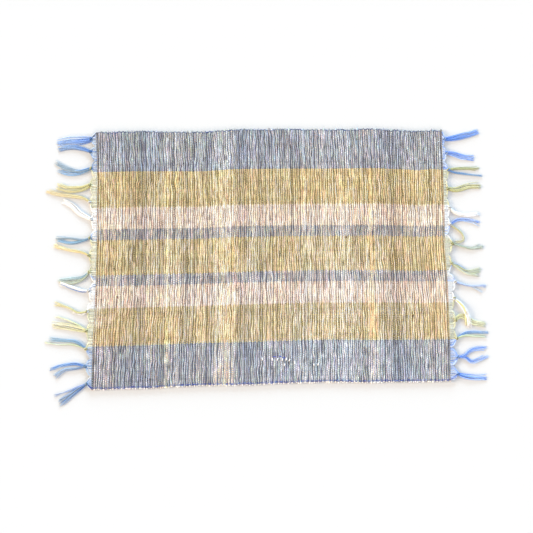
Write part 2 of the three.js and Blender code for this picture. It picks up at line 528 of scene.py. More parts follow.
class StrandMesh:
    """Gathers sets of strands into one mesh object with its colours and maps."""

    STRIP_MARGIN = 0.08
    NOISE_REACH = 900.0
    CORNERS = ((0, 0), (0, 1), (1, 1), (1, 0))

    def __init__(self, name: str, rng: Random) -> None:
        """Starts an empty mesh.

        Args:
            name: Name of the object.
            rng: Source of each strand's own place in the noise.
        """
        self.name = name
        self.rng = rng
        self.sets: list[Strands] = []

    def add(self, strands: Strands) -> None:
        """Takes one more set of strands."""
        self.sets.append(strands)

    def build(self, material: bpy.types.Material) -> bpy.types.Object:
        """Joins the sets into one smooth-shaded object.

        Args:
            material: Finish of every strand.

        Returns:
            The new object, linked to the scene.
        """
        total = sum(len(item.centres) for item in self.sets)
        verts, tints, shares, loops, sizes, strand_uv, bake_uv = [], [], [], [], [], [], []
        first_vertex, first_strand = 0, 0
        for item in self.sets:
            points = item.points()
            count, rings, sides = points.shape[:3]
            index = first_vertex + np.arange(count * rings * sides).reshape(count, rings, sides)
            verts.append(points.reshape(-1, 3))
            tints.append(np.broadcast_to(item.tints, points.shape).reshape(-1, 3))
            across = np.zeros((count, rings)) if item.across is None else item.across
            shares.append(np.repeat(across.ravel(), sides))
            quads, caps = self.faces(index)
            loops += [quads.ravel(), caps.ravel()]
            sizes += [np.full(quads.size // 4, 4), np.full(caps.size // sides, sides)]
            own, shared = self.maps(item, first_strand, total)
            strand_uv.append(own)
            bake_uv.append(shared)
            first_vertex += count * rings * sides
            first_strand += count
        mesh = self.mesh(np.concatenate(verts), np.concatenate(loops), np.concatenate(sizes))
        colours = np.concatenate(tints)
        layer = mesh.color_attributes.new(TINT, "FLOAT_COLOR", "POINT")
        self.fill(layer.data, "color", np.concatenate([colours, np.ones((len(colours), 1))], axis=1))
        layer = mesh.attributes.new(ACROSS, "FLOAT", "POINT")
        self.fill(layer.data, "value", np.concatenate(shares))
        for name, places in ((STRAND_MAP, strand_uv), (BAKE_MAP, bake_uv)):
            layer = mesh.uv_layers.new(name=name)
            self.fill(layer.uv, "vector", np.concatenate(places))
        mesh.materials.append(material)
        piece = bpy.data.objects.new(self.name, mesh)
        bpy.context.scene.collection.objects.link(piece)
        return piece

    @staticmethod
    def faces(index: np.ndarray) -> tuple[np.ndarray, np.ndarray]:
        """Lists the vertex numbers of the tube walls and of the end caps.

        Args:
            index: Vertex numbers, (strand, point, side).

        Returns:
            Quads as (..., 4), and caps as (..., side).
        """
        after = np.roll(index, -1, axis=2)
        quads = np.stack([index[:, :-1], after[:, :-1], after[:, 1:], index[:, 1:]], axis=-1)
        caps = np.stack([index[:, 0, ::-1], index[:, -1]], axis=1)
        return quads, caps

    def maps(self, item: Strands, first: int, total: int) -> tuple[np.ndarray, np.ndarray]:
        """Works out the map places of every face corner.

        Args:
            item: The strands.
            first: Number of the set's first strand in the whole mesh.
            total: Strands in the whole mesh.

        Returns:
            The strand map, millimetres along by turns round, and the bake map.
        """
        count, rings = item.centres.shape[:2]
        sides = item.sides
        along = item.lengths() + self.rng.uniform(0.0, self.NOISE_REACH, (count, 1))
        share = np.broadcast_to(np.linspace(0.0, 1.0, rings), (count, rings))
        strip = ((first + np.arange(count)) / total)[:, None, None] + self.STRIP_MARGIN / total
        inner = (1 - 2 * self.STRIP_MARGIN) / total
        turns = np.arange(sides + 1) / sides
        own, shared = [], []
        shape = (count, rings - 1, sides)
        for ring_step, side_step in self.CORNERS:
            ring = slice(ring_step, rings - 1 + ring_step)
            turn = turns[side_step:sides + side_step]
            own.append(self.pair(along[:, ring, None], turn, shape))
            shared.append(self.pair(share[:, ring, None], strip + inner * turn, shape))
        own_walls = np.stack(own, axis=-2).reshape(-1, 2)
        shared_walls = np.stack(shared, axis=-2).reshape(-1, 2)
        shape = (count, 2, sides)
        turn = turns[:sides]
        own_caps = self.pair(along[:, [0, -1], None], turn, shape).reshape(-1, 2)
        shared_caps = self.pair(share[:, [0, -1], None], strip + inner * turn, shape).reshape(-1, 2)
        return np.concatenate([own_walls, own_caps]), np.concatenate([shared_walls, shared_caps])

    @staticmethod
    def pair(first: np.ndarray, second: np.ndarray, shape: tuple[int, ...]) -> np.ndarray:
        """Pairs two arrays, spread to one shape, as map places."""
        return np.stack([np.broadcast_to(first, shape), np.broadcast_to(second, shape)], axis=-1)

    @staticmethod
    def fill(data: bpy.types.bpy_prop_collection, key: str, values: np.ndarray) -> None:
        """Writes one value of each element."""
        data.foreach_set(key, values.astype(np.float32).ravel())

    def mesh(self, verts: np.ndarray, loops: np.ndarray, sizes: np.ndarray) -> bpy.types.Mesh:
        """Makes the mesh data.

        Args:
            verts: Vertices, in metres.
            loops: Vertex numbers of the faces, one after another.
            sizes: Corners of each face.

        Returns:
            The mesh.
        """
        mesh = bpy.data.meshes.new(self.name)
        mesh.vertices.add(len(verts))
        self.fill(mesh.vertices, "co", verts)
        mesh.loops.add(len(loops))
        mesh.loops.foreach_set("vertex_index", loops.astype(np.int32))
        mesh.polygons.add(len(sizes))
        starts = np.concatenate([[0], np.cumsum(sizes)[:-1]])
        mesh.polygons.foreach_set("loop_start", starts.astype(np.int32))
        mesh.polygons.foreach_set("use_smooth", np.ones(len(sizes), bool))
        mesh.update(calc_edges=True)
        return mesh


class FieldOutline:
    """Uneven edges of the woven field, read from its solid."""

    EDGE_BAND = 6.5 * MM
    WALL_LOW = 0.3 * MM
    WALL_HIGH = 0.7 * MM

    def __init__(self, node: bpy.types.Object) -> None:
        """Reads the four edges.

        Args:
            node: Solid of the woven field.
        """
        flat = np.zeros(len(node.data.vertices) * 3)
        node.data.vertices.foreach_get("co", flat)
        places = flat.reshape(-1, 3)
        wall = places[(places[:, 2] > self.WALL_LOW) & (places[:, 2] < self.WALL_HIGH)][:, :2]
        low, high = wall.min(axis=0) + self.EDGE_BAND, wall.max(axis=0) - self.EDGE_BAND
        self.edges = {
            Edge.LEFT: self.line(wall[wall[:, 0] < low[0]], 1),
            Edge.RIGHT: self.line(wall[wall[:, 0] > high[0]], 1),
            Edge.BOTTOM: self.line(wall[wall[:, 1] < low[1]], 0),
            Edge.TOP: self.line(wall[wall[:, 1] > high[1]], 0),
        }
        bounds_low, bounds_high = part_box(node.name)
        self.middle = (bounds_high.z + bounds_low.z) / 2

    @staticmethod
    def line(points: np.ndarray, axis: int) -> tuple[np.ndarray, np.ndarray]:
        """Places along an edge, in order, and the edge's other coordinate there."""
        points = points[np.argsort(points[:, axis])]
        return points[:, axis], points[:, 1 - axis]

    def at(self, edge: Edge, place: np.ndarray) -> np.ndarray:
        """X of a short edge at these Y, or Y of a long edge at these X."""
        return np.interp(place, *self.edges[edge])


@dataclass
class Weave:
    """Shared layout of the root bundles and the warp threads."""

    outline: FieldOutline
    seed: int = 11
    bundles: int = 162
    end_bundles: int = 5
    warp_pitch: float = 1.16 * MM
    pitch_jitter: float = 0.2
    edge_inset: float = 1.1 * MM
    uneven: float = 0.2
    wander: float = 0.5 * MM
    group_wander: Drift = Drift(0.85 * MM, 54)
    stations: int = 52

    def __post_init__(self) -> None:
        """Fixes each bundle's and each thread's place."""
        rng = np.random.default_rng(self.seed)
        number = np.arange(self.bundles)
        free = np.clip(np.minimum(number, self.bundles - 1 - number) / self.end_bundles, 0.0, 1.0)[:, None]
        own = rng.uniform(-1.0, 1.0, (self.bundles, self.stations)) * self.wander
        shared = self.group_wander.along(rng, self.stations, self.bundles).T
        uneven = self.uneven * rng.uniform(-1.0, 1.0, self.bundles) * free[:, 0]
        self.share = (number + 0.5 + uneven) / self.bundles
        self.sway = (own + shared) * free
        reach = HALF_WIDTH - self.edge_inset
        count = int(2 * reach / self.warp_pitch) + 1
        self.thread_place = np.linspace(-reach, reach, count)
        jitter = rng.uniform(-self.pitch_jitter, self.pitch_jitter, count - 2)
        self.thread_place[1:-1] += jitter * self.warp_pitch

    def bundle_x(self, y: np.ndarray) -> np.ndarray:
        """Finds every bundle's line.

        Args:
            y: Places along the bundles, (bundle, point).

        Returns:
            X of each bundle at those places.
        """
        left, right = self.outline.at(Edge.LEFT, y), self.outline.at(Edge.RIGHT, y)
        stations = np.linspace(-HALF_WIDTH, HALF_WIDTH, self.stations)
        sway = np.stack([np.interp(row, stations, own) for row, own in zip(y, self.sway)])
        return left + self.share[:, None] * (right - left) + sway

    def across(self, x: np.ndarray, y: np.ndarray) -> np.ndarray:
        """Share of the way from the field's bottom edge to its top edge at these places."""
        bottom, top = self.outline.at(Edge.BOTTOM, x), self.outline.at(Edge.TOP, x)
        return (y - bottom) / (top - bottom)

    def thread_y(self, place: np.ndarray, x: np.ndarray) -> np.ndarray:
        """Finds threads' lines, which follow the field's uneven long edges.

        Args:
            place: Nominal places across the field.
            x: Places along the threads.

        Returns:
            Y of each thread at those places.
        """
        bottom, top = self.outline.at(Edge.BOTTOM, x), self.outline.at(Edge.TOP, x)
        share = (place + HALF_WIDTH) / (2 * HALF_WIDTH)
        return bottom + share * (top - bottom)

    @staticmethod
    def band_of(place: float) -> int:
        """Number of the colour band, from the bottom, that holds a thread."""
        return next(i for i, band in enumerate(BANDS) if place <= band.top)

    def yarn_of(self, place: float) -> Yarn:
        """Yarn of the thread at a nominal place across the field."""
        return BANDS[self.band_of(place)].yarn


@dataclass(frozen=True)
class RootShade:
    """Stretch of the field where the root is paler, darker or redder, or packed closer, than the rest.

    start and end are X, low and high are Y, in millimetres; gain is a colour or one grey value; close is
    0 to 1.
    """

    start: float
    end: float
    gain: Colour | float
    low: float = -200
    high: float = 200
    # close also lifts the painted shade on the bundles' flanks
    close: float = 0.0

    def covers(self, x: np.ndarray, y: np.ndarray) -> np.ndarray:
        """Tells which places lie in the stretch."""
        inside = (x > self.start * MM) & (x < self.end * MM)
        return inside & (y > self.low * MM) & (y < self.high * MM)


ROOT_SHADES = (
    RootShade(-230, -196, (1.06, 1.0, 0.95)),
    RootShade(-230, -201, (1.0, 0.88, 0.76), high=-90),
    RootShade(-191, -171, 0.83),
    RootShade(-191, -173, 1.17, low=-52, high=10),
    RootShade(-172, -163, (0.62, 0.63, 0.65)),
    RootShade(-148, -141, 0.81),
    RootShade(-140, -133, (1.16, 1.14, 1.08)),
    RootShade(-138.2, -135.2, (1.24, 1.12, 0.96), high=10, close=0.9),
    RootShade(-117, -108, 0.85),
    RootShade(-88, -79, (0.88, 0.87, 0.86)),
    RootShade(-76, -49, (1.19, 1.17, 1.13), close=0.45),
    RootShade(-78, -52, (1.2, 1.06, 0.9), high=-112),
    RootShade(-92, -79, (0.84, 0.84, 0.85), high=-112),
    RootShade(-204, -181, (0.9, 0.88, 0.84), high=-112),
    RootShade(86, 99, 1.1, high=-112),
    RootShade(-45, -31, (0.79, 0.8, 0.83)),
    RootShade(56, 104, (1.07, 1.08, 1.1)),
    RootShade(97, 104, 1.24),
    RootShade(126.5, 132.5, (1.32, 1.05, 0.8), low=30, high=112, close=0.6),
    RootShade(125, 133.5, (1.3, 1.1, 0.9), low=-112, high=30, close=0.6),
    RootShade(123.5, 134, (1.26, 1.14, 1.04), high=-112, close=0.8),
    RootShade(150, 174, (0.8, 0.8, 0.82)),
    RootShade(198, 230, (1.08, 1.05, 1.0)),
    RootShade(-160, -138, 0.93, high=-90),
    RootShade(-160, -119, 0.88, high=-150),
    RootShade(-137, -101, 1.04),
    RootShade(-101, -83, 1.06),
    RootShade(-65, -47, 1.07),
    RootShade(-47, -29, 0.92, low=40),
    RootShade(-11, 7, 0.9, low=60),
    RootShade(25, 43, 1.04),
    RootShade(97, 116, 0.92, low=60),
    RootShade(134, 152, 0.9, low=-40, high=25),
    RootShade(208, 226, 1.03),
    RootShade(30, 195, (1.0, 1.045, 1.1), high=-64),
    RootShade(-230, -76, (1.0, 1.03, 1.075), low=112),
    RootShade(-84, -58, 0.62, low=-36, high=-23),
    RootShade(-58, -44, 0.84, low=-36, high=-23),
    RootShade(19, 33, 0.8, low=-36, high=-23),
    RootShade(71, 84, 0.83, low=-36, high=-23),
    RootShade(110, 123, 0.78, low=-36, high=-23),
    RootShade(-109, -96, 1.26, low=36, high=112),
    RootShade(-173, -147, 1.12, high=-112),
    RootShade(-160, -134, 0.86, high=-112),
    RootShade(-122, -110, 1.17, high=-112),
    RootShade(-47, -21, 0.82, high=-112),
    RootShade(112, 125, 0.8, low=23, high=36),
    RootShade(178, 218, 1.13, low=36, high=64),
    RootShade(-198, -186, 1.14, low=-23, high=23),
    RootShade(98, 111, 0.85, low=-23, high=23),
)


@dataclass(frozen=True)
class Slit:
    """Long slit where one bundle is pinched, with painted shade: its X and the stretch of Y, in millimetres.
    """

    x: float
    low: float
    high: float


ROOT_SLITS = (
    Slit(26.5, 30, 146), Slit(41, -122, -10), Slit(-177, -10, 14), Slit(207.5, 84, 111),
    Slit(-111, 70, 112), Slit(-109, -56, 34), Slit(-115, -156, -106), Slit(99, 102, 112),
    Slit(-83.5, -160, -146), Slit(63, -126, -110), Slit(-128, 20, 142), Slit(85, -48, -28),
)


@dataclass
class RootWeft:
    """Bundles of vetiver root that run the short way of the mat."""

    weave: Weave
    seed: int = 23
    hue_stream: int = 1
    streak_stream: int = 2
    sides: int = 8
    rings: int = 76
    half_width: float = 1.2 * MM
    half_height: float = 1.0 * MM
    ripple: Drift = Drift(0.08 * MM, 20)
    swell: Drift = Drift(0.34, 50)
    height_swell: Drift = Drift(0.17, 50)
    lump: float = 0.1
    roots_in_bundle: int = 3
    twist_per_m: float = 150.0
    low_out: Span = (0.6 * MM, 2.1 * MM)
    high_out: Span = (-0.5 * MM, 2.2 * MM)
    end_taper: float = 0.62
    tip_length: float = 2.2 * MM
    tip_step: float = 0.6
    low_tip_rings: int = 2
    low_tip: Colour = (2.0, 1.95, 1.85)
    high_tip: Colour = (0.5, 0.5, 0.52)
    colour_stations: int = 50
    colour_gain: Span = (0.88, 1.1)
    outer_painted_shade: float = 0.42
    # painted shade, with some dirt, on the flanks where bundles meet; painted light on their tops and
    # undersides
    flank_dirt_and_shade: Colour = (0.3, 0.22, 0.12)
    crown_painted_light: Colour = (1.12, 1.12, 1.13)
    close_width: float = 0.16
    hue_spread: Span = (0.11, 0.19)
    streak: Drift = Drift(0.09, 14)
    odd_share: float = 0.045
    thin_width: float = 0.72
    thin_painted_shade: float = 0.68
    pale_gain: float = 1.2
    slit_width: float = 0.62
    slit_painted_shade: float = 0.45
    slits: tuple[Slit, ...] = ROOT_SLITS
    gaps: int = 110
    gap_end_clear: int = 2
    light_groups: int = 54
    hue_groups: int = 27
    group_rows: int = 5
    group_spread: float = 0.12
    group_hue: float = 0.09
    blue_hue: float = 1.5
    own_spread: float = 0.07
    shades: tuple[RootShade, ...] = ROOT_SHADES
    palette: tuple[tuple[float, Colour], ...] = (
        (0.24, linear(238, 218, 180)),
        (0.40, linear(224, 202, 162)),
        (0.24, linear(202, 179, 142)),
        (0.09, linear(166, 146, 116)),
    )

    def __post_init__(self) -> None:
        """Starts the source of each bundle's form and colours."""
        self.rng = np.random.default_rng(self.seed)

    def build(self, material: bpy.types.Material) -> bpy.types.Object:
        """Makes every bundle as one closed lumpy tube.

        Args:
            material: Finish of the root.

        Returns:
            The object.
        """
        weave, rng, count = self.weave, self.rng, self.weave.bundles
        tip = self.tip_length / (2 * HALF_WIDTH)
        low_end = self.tip_step * tip * np.arange(self.low_tip_rings)
        body = np.linspace(tip, 1 - tip, self.rings - self.low_tip_rings - 1)
        place = np.concatenate([low_end, body, [1.0]])
        middle_x = weave.bundle_x(np.zeros((count, 1)))[:, 0]
        low = weave.outline.at(Edge.BOTTOM, middle_x) - rng.uniform(*self.low_out, count)
        high = weave.outline.at(Edge.TOP, middle_x) + rng.uniform(*self.high_out, count)
        y = low[:, None] + place * (high - low)[:, None]
        x = weave.bundle_x(y)
        z = weave.outline.middle + self.ripple.along(rng, count, self.rings)
        self.odd = rng.random(count)
        wide = 1 + self.swell.along(rng, count, self.rings)
        wide[self.odd < self.odd_share] *= self.thin_width
        self.pinched = self.slit_mask(middle_x, y)
        wide[self.pinched] *= self.slit_width
        wide *= 1 + self.close_width * self.closeness_at(x, y)
        tall = 1 + self.height_swell.along(rng, count, self.rings)
        ends = np.ones(self.rings)
        ends[[0, -1]] = self.end_taper
        turn = math.tau * np.arange(self.sides) / self.sides
        twist = self.twist_per_m * y * rng.uniform(-1, 1, (count, 1))
        phase = rng.uniform(0.0, math.tau, (count, 1)) + twist
        bulge = 1 + self.lump * np.cos(self.roots_in_bundle * turn + phase[..., None])
        mesh = StrandMesh("root_weft", rng)
        mesh.add(Strands(
            np.stack([x, y, z], axis=-1),
            self.half_width * wide * ends,
            self.half_height * tall * ends,
            self.tints(x, y),
            bulge,
            weave.across(x, y),
        ))
        return mesh.build(material)

    def slit_mask(self, middle_x: np.ndarray, y: np.ndarray) -> np.ndarray:
        """Marks the rings that are pinched.

        Args:
            middle_x: X of each bundle at the field's middle.
            y: Y of the rings, (bundle, ring).

        Returns:
            True along each slit, on the bundle nearest to it, and at short gaps here and there.
        """
        mask = np.zeros(y.shape, bool)
        for slit in self.slits:
            nearest = np.abs(middle_x - slit.x * MM).argmin()
            mask[nearest] |= (y[nearest] > slit.low * MM) & (y[nearest] < slit.high * MM)
        bundle = self.rng.integers(1, len(y) - 1, self.gaps)
        ring = self.rng.integers(self.gap_end_clear, self.rings - self.gap_end_clear, self.gaps)
        mask[bundle, ring] = True
        return mask

    def tints(self, x: np.ndarray, y: np.ndarray) -> np.ndarray:
        """Colours each corner, with shades that change along each root and from group to group.

        Args:
            x: X of the rings, (bundle, ring).
            y: Y of the rings.

        Returns:
            Linear colours, (bundle, ring, side, 3).
        """
        count, rings = x.shape
        chosen = self.pick_colours((count * self.roots_in_bundle, self.colour_stations + 1))
        hues = np.random.default_rng((self.seed, self.hue_stream))
        red, blue = hues.uniform(-1.0, 1.0, (2, *chosen.shape[:2]))
        red, blue = self.hue_spread[0] * red, self.hue_spread[1] * blue
        chosen = chosen * np.stack([1 + red, 1 - red, 1 + blue], axis=-1)
        along = smooth(chosen, rings).reshape(count, self.roots_in_bundle, rings, 3)
        root = np.arange(self.sides) * self.roots_in_bundle // self.sides
        colours = along.transpose(0, 2, 1, 3)[:, :, root, :]
        gain = self.shade_at(x, y) * self.group_gain(rings)
        streaks = self.streak.along(np.random.default_rng((self.seed, self.streak_stream)), count, rings)
        gain *= 1 + streaks[..., None]
        # painted shade: the outermost bundle at each end is darker
        gain[[0, -1]] *= self.outer_painted_shade
        # painted shade of the opened gap on the pinched rings, at the slits and the short gaps
        gain[self.pinched] *= self.slit_painted_shade
        gain[:, :self.low_tip_rings] *= self.low_tip
        gain[:, -1] *= self.high_tip
        # painted shade: the thin bundles are darker, for the open gaps beside them
        gain[self.odd < self.odd_share] *= self.thin_painted_shade
        gain[self.odd > 1 - self.odd_share] *= self.pale_gain
        # the lightness includes the painted shade of the outer bundles, the slits and the thin bundles
        light = (colours.mean(axis=2) * gain).mean(axis=2)
        self.rings_y, self.light = y, light / light.mean()
        # painted shade, with some dirt, on each bundle's flanks; painted light on its top and underside
        crown = np.abs(np.cos(math.tau * np.arange(self.sides) / self.sides))
        # close stretches lift the painted flank shade towards the painted top light
        crown = np.maximum(crown, self.closeness_at(x, y)[..., None])[..., None]
        side_dirt_and_shade = np.array(self.flank_dirt_and_shade)
        side_dirt_and_shade = side_dirt_and_shade + (np.array(self.crown_painted_light) - side_dirt_and_shade) * crown
        return colours * gain[:, :, None, :] * side_dirt_and_shade

    def group_gain(self, rings: int) -> np.ndarray:
        """Draws the shade and hue that neighbouring bundles share, changing slowly along them.

        Args:
            rings: Rings along each bundle.

        Returns:
            Gains, (bundle, ring, 3).
        """
        light = self.group_spread * self.patches(self.light_groups, rings)
        light = 1 + light + self.own_spread * self.rng.uniform(-1.0, 1.0, (self.weave.bundles, 1))
        hue = self.group_hue * self.patches(self.hue_groups, rings)
        return np.stack([light * (1 - hue), light, light * (1 + self.blue_hue * hue)], axis=-1)

    def patches(self, groups: int, rings: int) -> np.ndarray:
        """Smooth random values over the field, (bundle, ring), -1 to 1."""
        across = Drift(1.0, groups).along(self.rng, self.group_rows, self.weave.bundles)
        return smooth(across.T, rings)

    def pick_colours(self, shape: tuple[int, ...]) -> np.ndarray:
        """Draws root colours from the palette.

        Args:
            shape: Shape of the draw.

        Returns:
            Linear colours, shape by 3.
        """
        weights = np.array([weight for weight, _ in self.palette])
        colours = np.array([colour for _, colour in self.palette])
        chosen = self.rng.choice(len(colours), size=shape, p=weights / weights.sum())
        return colours[chosen] * self.rng.uniform(*self.colour_gain, (*shape, 1))

    def shade_at(self, x: np.ndarray, y: np.ndarray) -> np.ndarray:
        """Multiplies up the paler, darker and redder stretches.

        Args:
            x: X of the places.
            y: Y of the places.

        Returns:
            Gain at each place, by 3.
        """
        gain = np.ones((*x.shape, 3))
        for shade in self.shades:
            gain[shade.covers(x, y)] *= shade.gain
        return gain

    def light_at(self, y: np.ndarray) -> np.ndarray:
        """How light each built bundle is, against the mean, at places along it, (bundle, point)."""
        return np.stack([np.interp(*row) for row in zip(y, self.rings_y, self.light)])

    def closeness_at(self, x: np.ndarray, y: np.ndarray) -> np.ndarray:
        """How far the bundles are packed together at these places, 0 to 1."""
        return np.max([shade.close * shade.covers(x, y) for shade in self.shades], axis=0)


@dataclass
class LooseRoots:
    """Single fine roots that lie along the tops of the bundles and stray between them."""

    weft: RootWeft
    seed: int = 37
    count: int = 3000
    points: int = 5
    sides: int = 3
    under_share: float = 0.25
    length: Span = (6 * MM, 30 * MM)
    end_clear: float = 2 * MM
    half_width: Span = (0.18 * MM, 0.36 * MM)
    flatness: float = 0.8
    tip_thin: float = 0.5
    side_reach: float = 0.75
    stray: Drift = Drift(0.6 * MM, 3)
    crown_width: float = 1.25
    crown_least: float = 0.05
    rise: float = 0.14 * MM
    line_stations: int = 40
    pale: Colour = linear(246, 236, 212)
    dark: Colour = linear(126, 102, 76)
    pale_share: float = 0.45
    dark_share: float = 0.25
    shade: Drift = Drift(0.2, 4)

    def build(self, material: bpy.types.Material) -> bpy.types.Object:
        """Makes every loose root.

        Args:
            material: Finish of the root.

        Returns:
            The object.
        """
        rng = np.random.default_rng(self.seed)
        weft, weave, count = self.weft, self.weft.weave, self.count
        bundle = rng.integers(0, weave.bundles, count)
        length = rng.uniform(*self.length, count)
        reach = HALF_WIDTH - length / 2 - self.end_clear
        centre = rng.uniform(-1.0, 1.0, count) * reach
        y = centre[:, None] + (np.linspace(-0.5, 0.5, self.points) * length[:, None])
        offset = rng.uniform(-self.side_reach, self.side_reach, (count, 1)) * weft.half_width
        offset = offset + self.stray.along(rng, count, self.points)
        x = self.bundle_line(bundle, y) + offset
        side = np.where(rng.random((count, 1)) < self.under_share, -1.0, 1.0)
        aside = offset / (self.crown_width * weft.half_width)
        crown = np.sqrt(np.clip(1 - aside ** 2, self.crown_least, 1))
        z = weave.outline.middle + side * (weft.half_height * crown + self.rise)
        half = rng.uniform(*self.half_width, (count, 1)) * np.ones(self.points)
        half[:, [0, -1]] *= self.tip_thin
        mesh = StrandMesh("loose_roots", rng)
        centres = np.stack([x, y, z], axis=-1)
        tints = self.tints(rng, x, y)
        mesh.add(Strands(centres, half, half * self.flatness, tints, across=weave.across(x, y)))
        return mesh.build(material)

    def bundle_line(self, bundle: np.ndarray, y: np.ndarray) -> np.ndarray:
        """Follows the bundle that carries each loose root.

        Args:
            bundle: Number of the bundle of each root.
            y: Places along the roots, (root, point).

        Returns:
            X at those places.
        """
        weave = self.weft.weave
        stations = np.linspace(-HALF_WIDTH, HALF_WIDTH, self.line_stations)
        lines = weave.bundle_x(np.tile(stations, (weave.bundles, 1)))
        return np.stack([np.interp(row, stations, lines[k]) for k, row in zip(bundle, y)])

    def tints(self, rng: Random, x: np.ndarray, y: np.ndarray) -> np.ndarray:
        """Draws pale, dark and ordinary colours.

        Args:
            rng: Source of the random values.
            x: X of the roots' points, (root, point).
            y: Y of the points.

        Returns:
            Linear colours, (root, point, side, 3).
        """
        draw = rng.random(self.count)
        base = self.weft.pick_colours((self.count,))
        base[draw < self.pale_share] = self.pale
        base[draw > 1 - self.dark_share] = self.dark
        along = 1 + self.shade.along(rng, self.count, self.points)
        colours = base[:, None, :] * along[..., None] * self.weft.shade_at(x, y)
        return np.repeat(colours[:, :, None, :], self.sides, axis=2)


@dataclass
class WarpBand:
    """Cotton threads of one colour band, each over and under the root bundles by turns."""

    weft: RootWeft
    number: int
    seed: int = 53
    sides: int = 3
    half_width: float = 0.5 * MM
    half_height: float = 0.27 * MM
    lift: float = 1.18 * MM
    shoulder: float = 0.52 * MM
    waver: Drift = Drift(0.1 * MM, 60)
    girth: Drift = Drift(0.12, 80)
    shade_spread: float = 0.16
    dye: Drift = Drift(0.1, 40)
    root_fuzz_and_shade: float = 0.3

    @property
    def name(self) -> str:
        """Name of the band's piece, numbered from the bottom edge."""
        return f"warp_{self.number + 1}_{BANDS[self.number].yarn.value}"

    def build(self, material: bpy.types.Material) -> bpy.types.Object:
        """Makes the band's threads, which take on some of the lightness of the built bundles.

        Args:
            material: Finish of the cotton.

        Returns:
            The object.
        """
        weave = self.weft.weave
        rng = np.random.default_rng((self.seed, self.number))
        threads = np.array([i for i, p in enumerate(weave.thread_place) if weave.band_of(p) == self.number])
        place = weave.thread_place[threads]
        crossing = weave.bundle_x(np.tile(place, (weave.bundles, 1))).T
        over = np.where((threads[:, None] + np.arange(weave.bundles)) % 2 == 0, 1.0, -1.0)
        x = np.repeat(crossing, 2, axis=1)
        x[:, 0::2] -= self.shoulder
        x[:, 1::2] += self.shoulder
        z = weave.outline.middle + np.repeat(over, 2, axis=1) * self.lift
        y = weave.thread_y(place[:, None], x) + self.waver.along(rng, *x.shape)
        half = 1 + self.girth.along(rng, *x.shape)
        shade = 1 + self.shade_spread * rng.uniform(-1, 1, (len(threads), 1))
        shade = shade + self.dye.along(rng, *x.shape)
        # the threads partly take on the bundles' lightness, with its painted shade
        light = self.weft.light_at(weave.thread_y(place, crossing.T)).T
        shade = shade * (1 + self.root_fuzz_and_shade * (np.repeat(light, 2, axis=1) - 1))
        colours = shade[..., None] * np.array(YARN_COLOUR[BANDS[self.number].yarn])
        tints = np.repeat(colours[:, :, None, :], self.sides, axis=2)
        mesh = StrandMesh(self.name, rng)
        centres = np.stack([x, y, z], axis=-1)
        mesh.add(Strands(centres, self.half_width * half, self.half_height * half, tints))
        return mesh.build(material)


@dataclass(frozen=True)
class EdgeCords:
    """Outer cords of one long edge: how many, how far they jag in and out, and their colours."""

    count: int
    jag: float
    colours: tuple[Colour, ...]


EDGE_CORDS: dict[Edge, EdgeCords] = {
    Edge.TOP: EdgeCords(2, 0.9 * MM, (
        linear(72, 80, 108), linear(104, 110, 130), linear(130, 136, 152), linear(70, 84, 146),
        linear(92, 100, 128),
    )),
    Edge.BOTTOM: EdgeCords(3, 0.35 * MM, (
        linear(58, 70, 164), linear(76, 98, 186), linear(110, 138, 196), linear(100, 112, 164),
        linear(62, 78, 136),
    )),
}


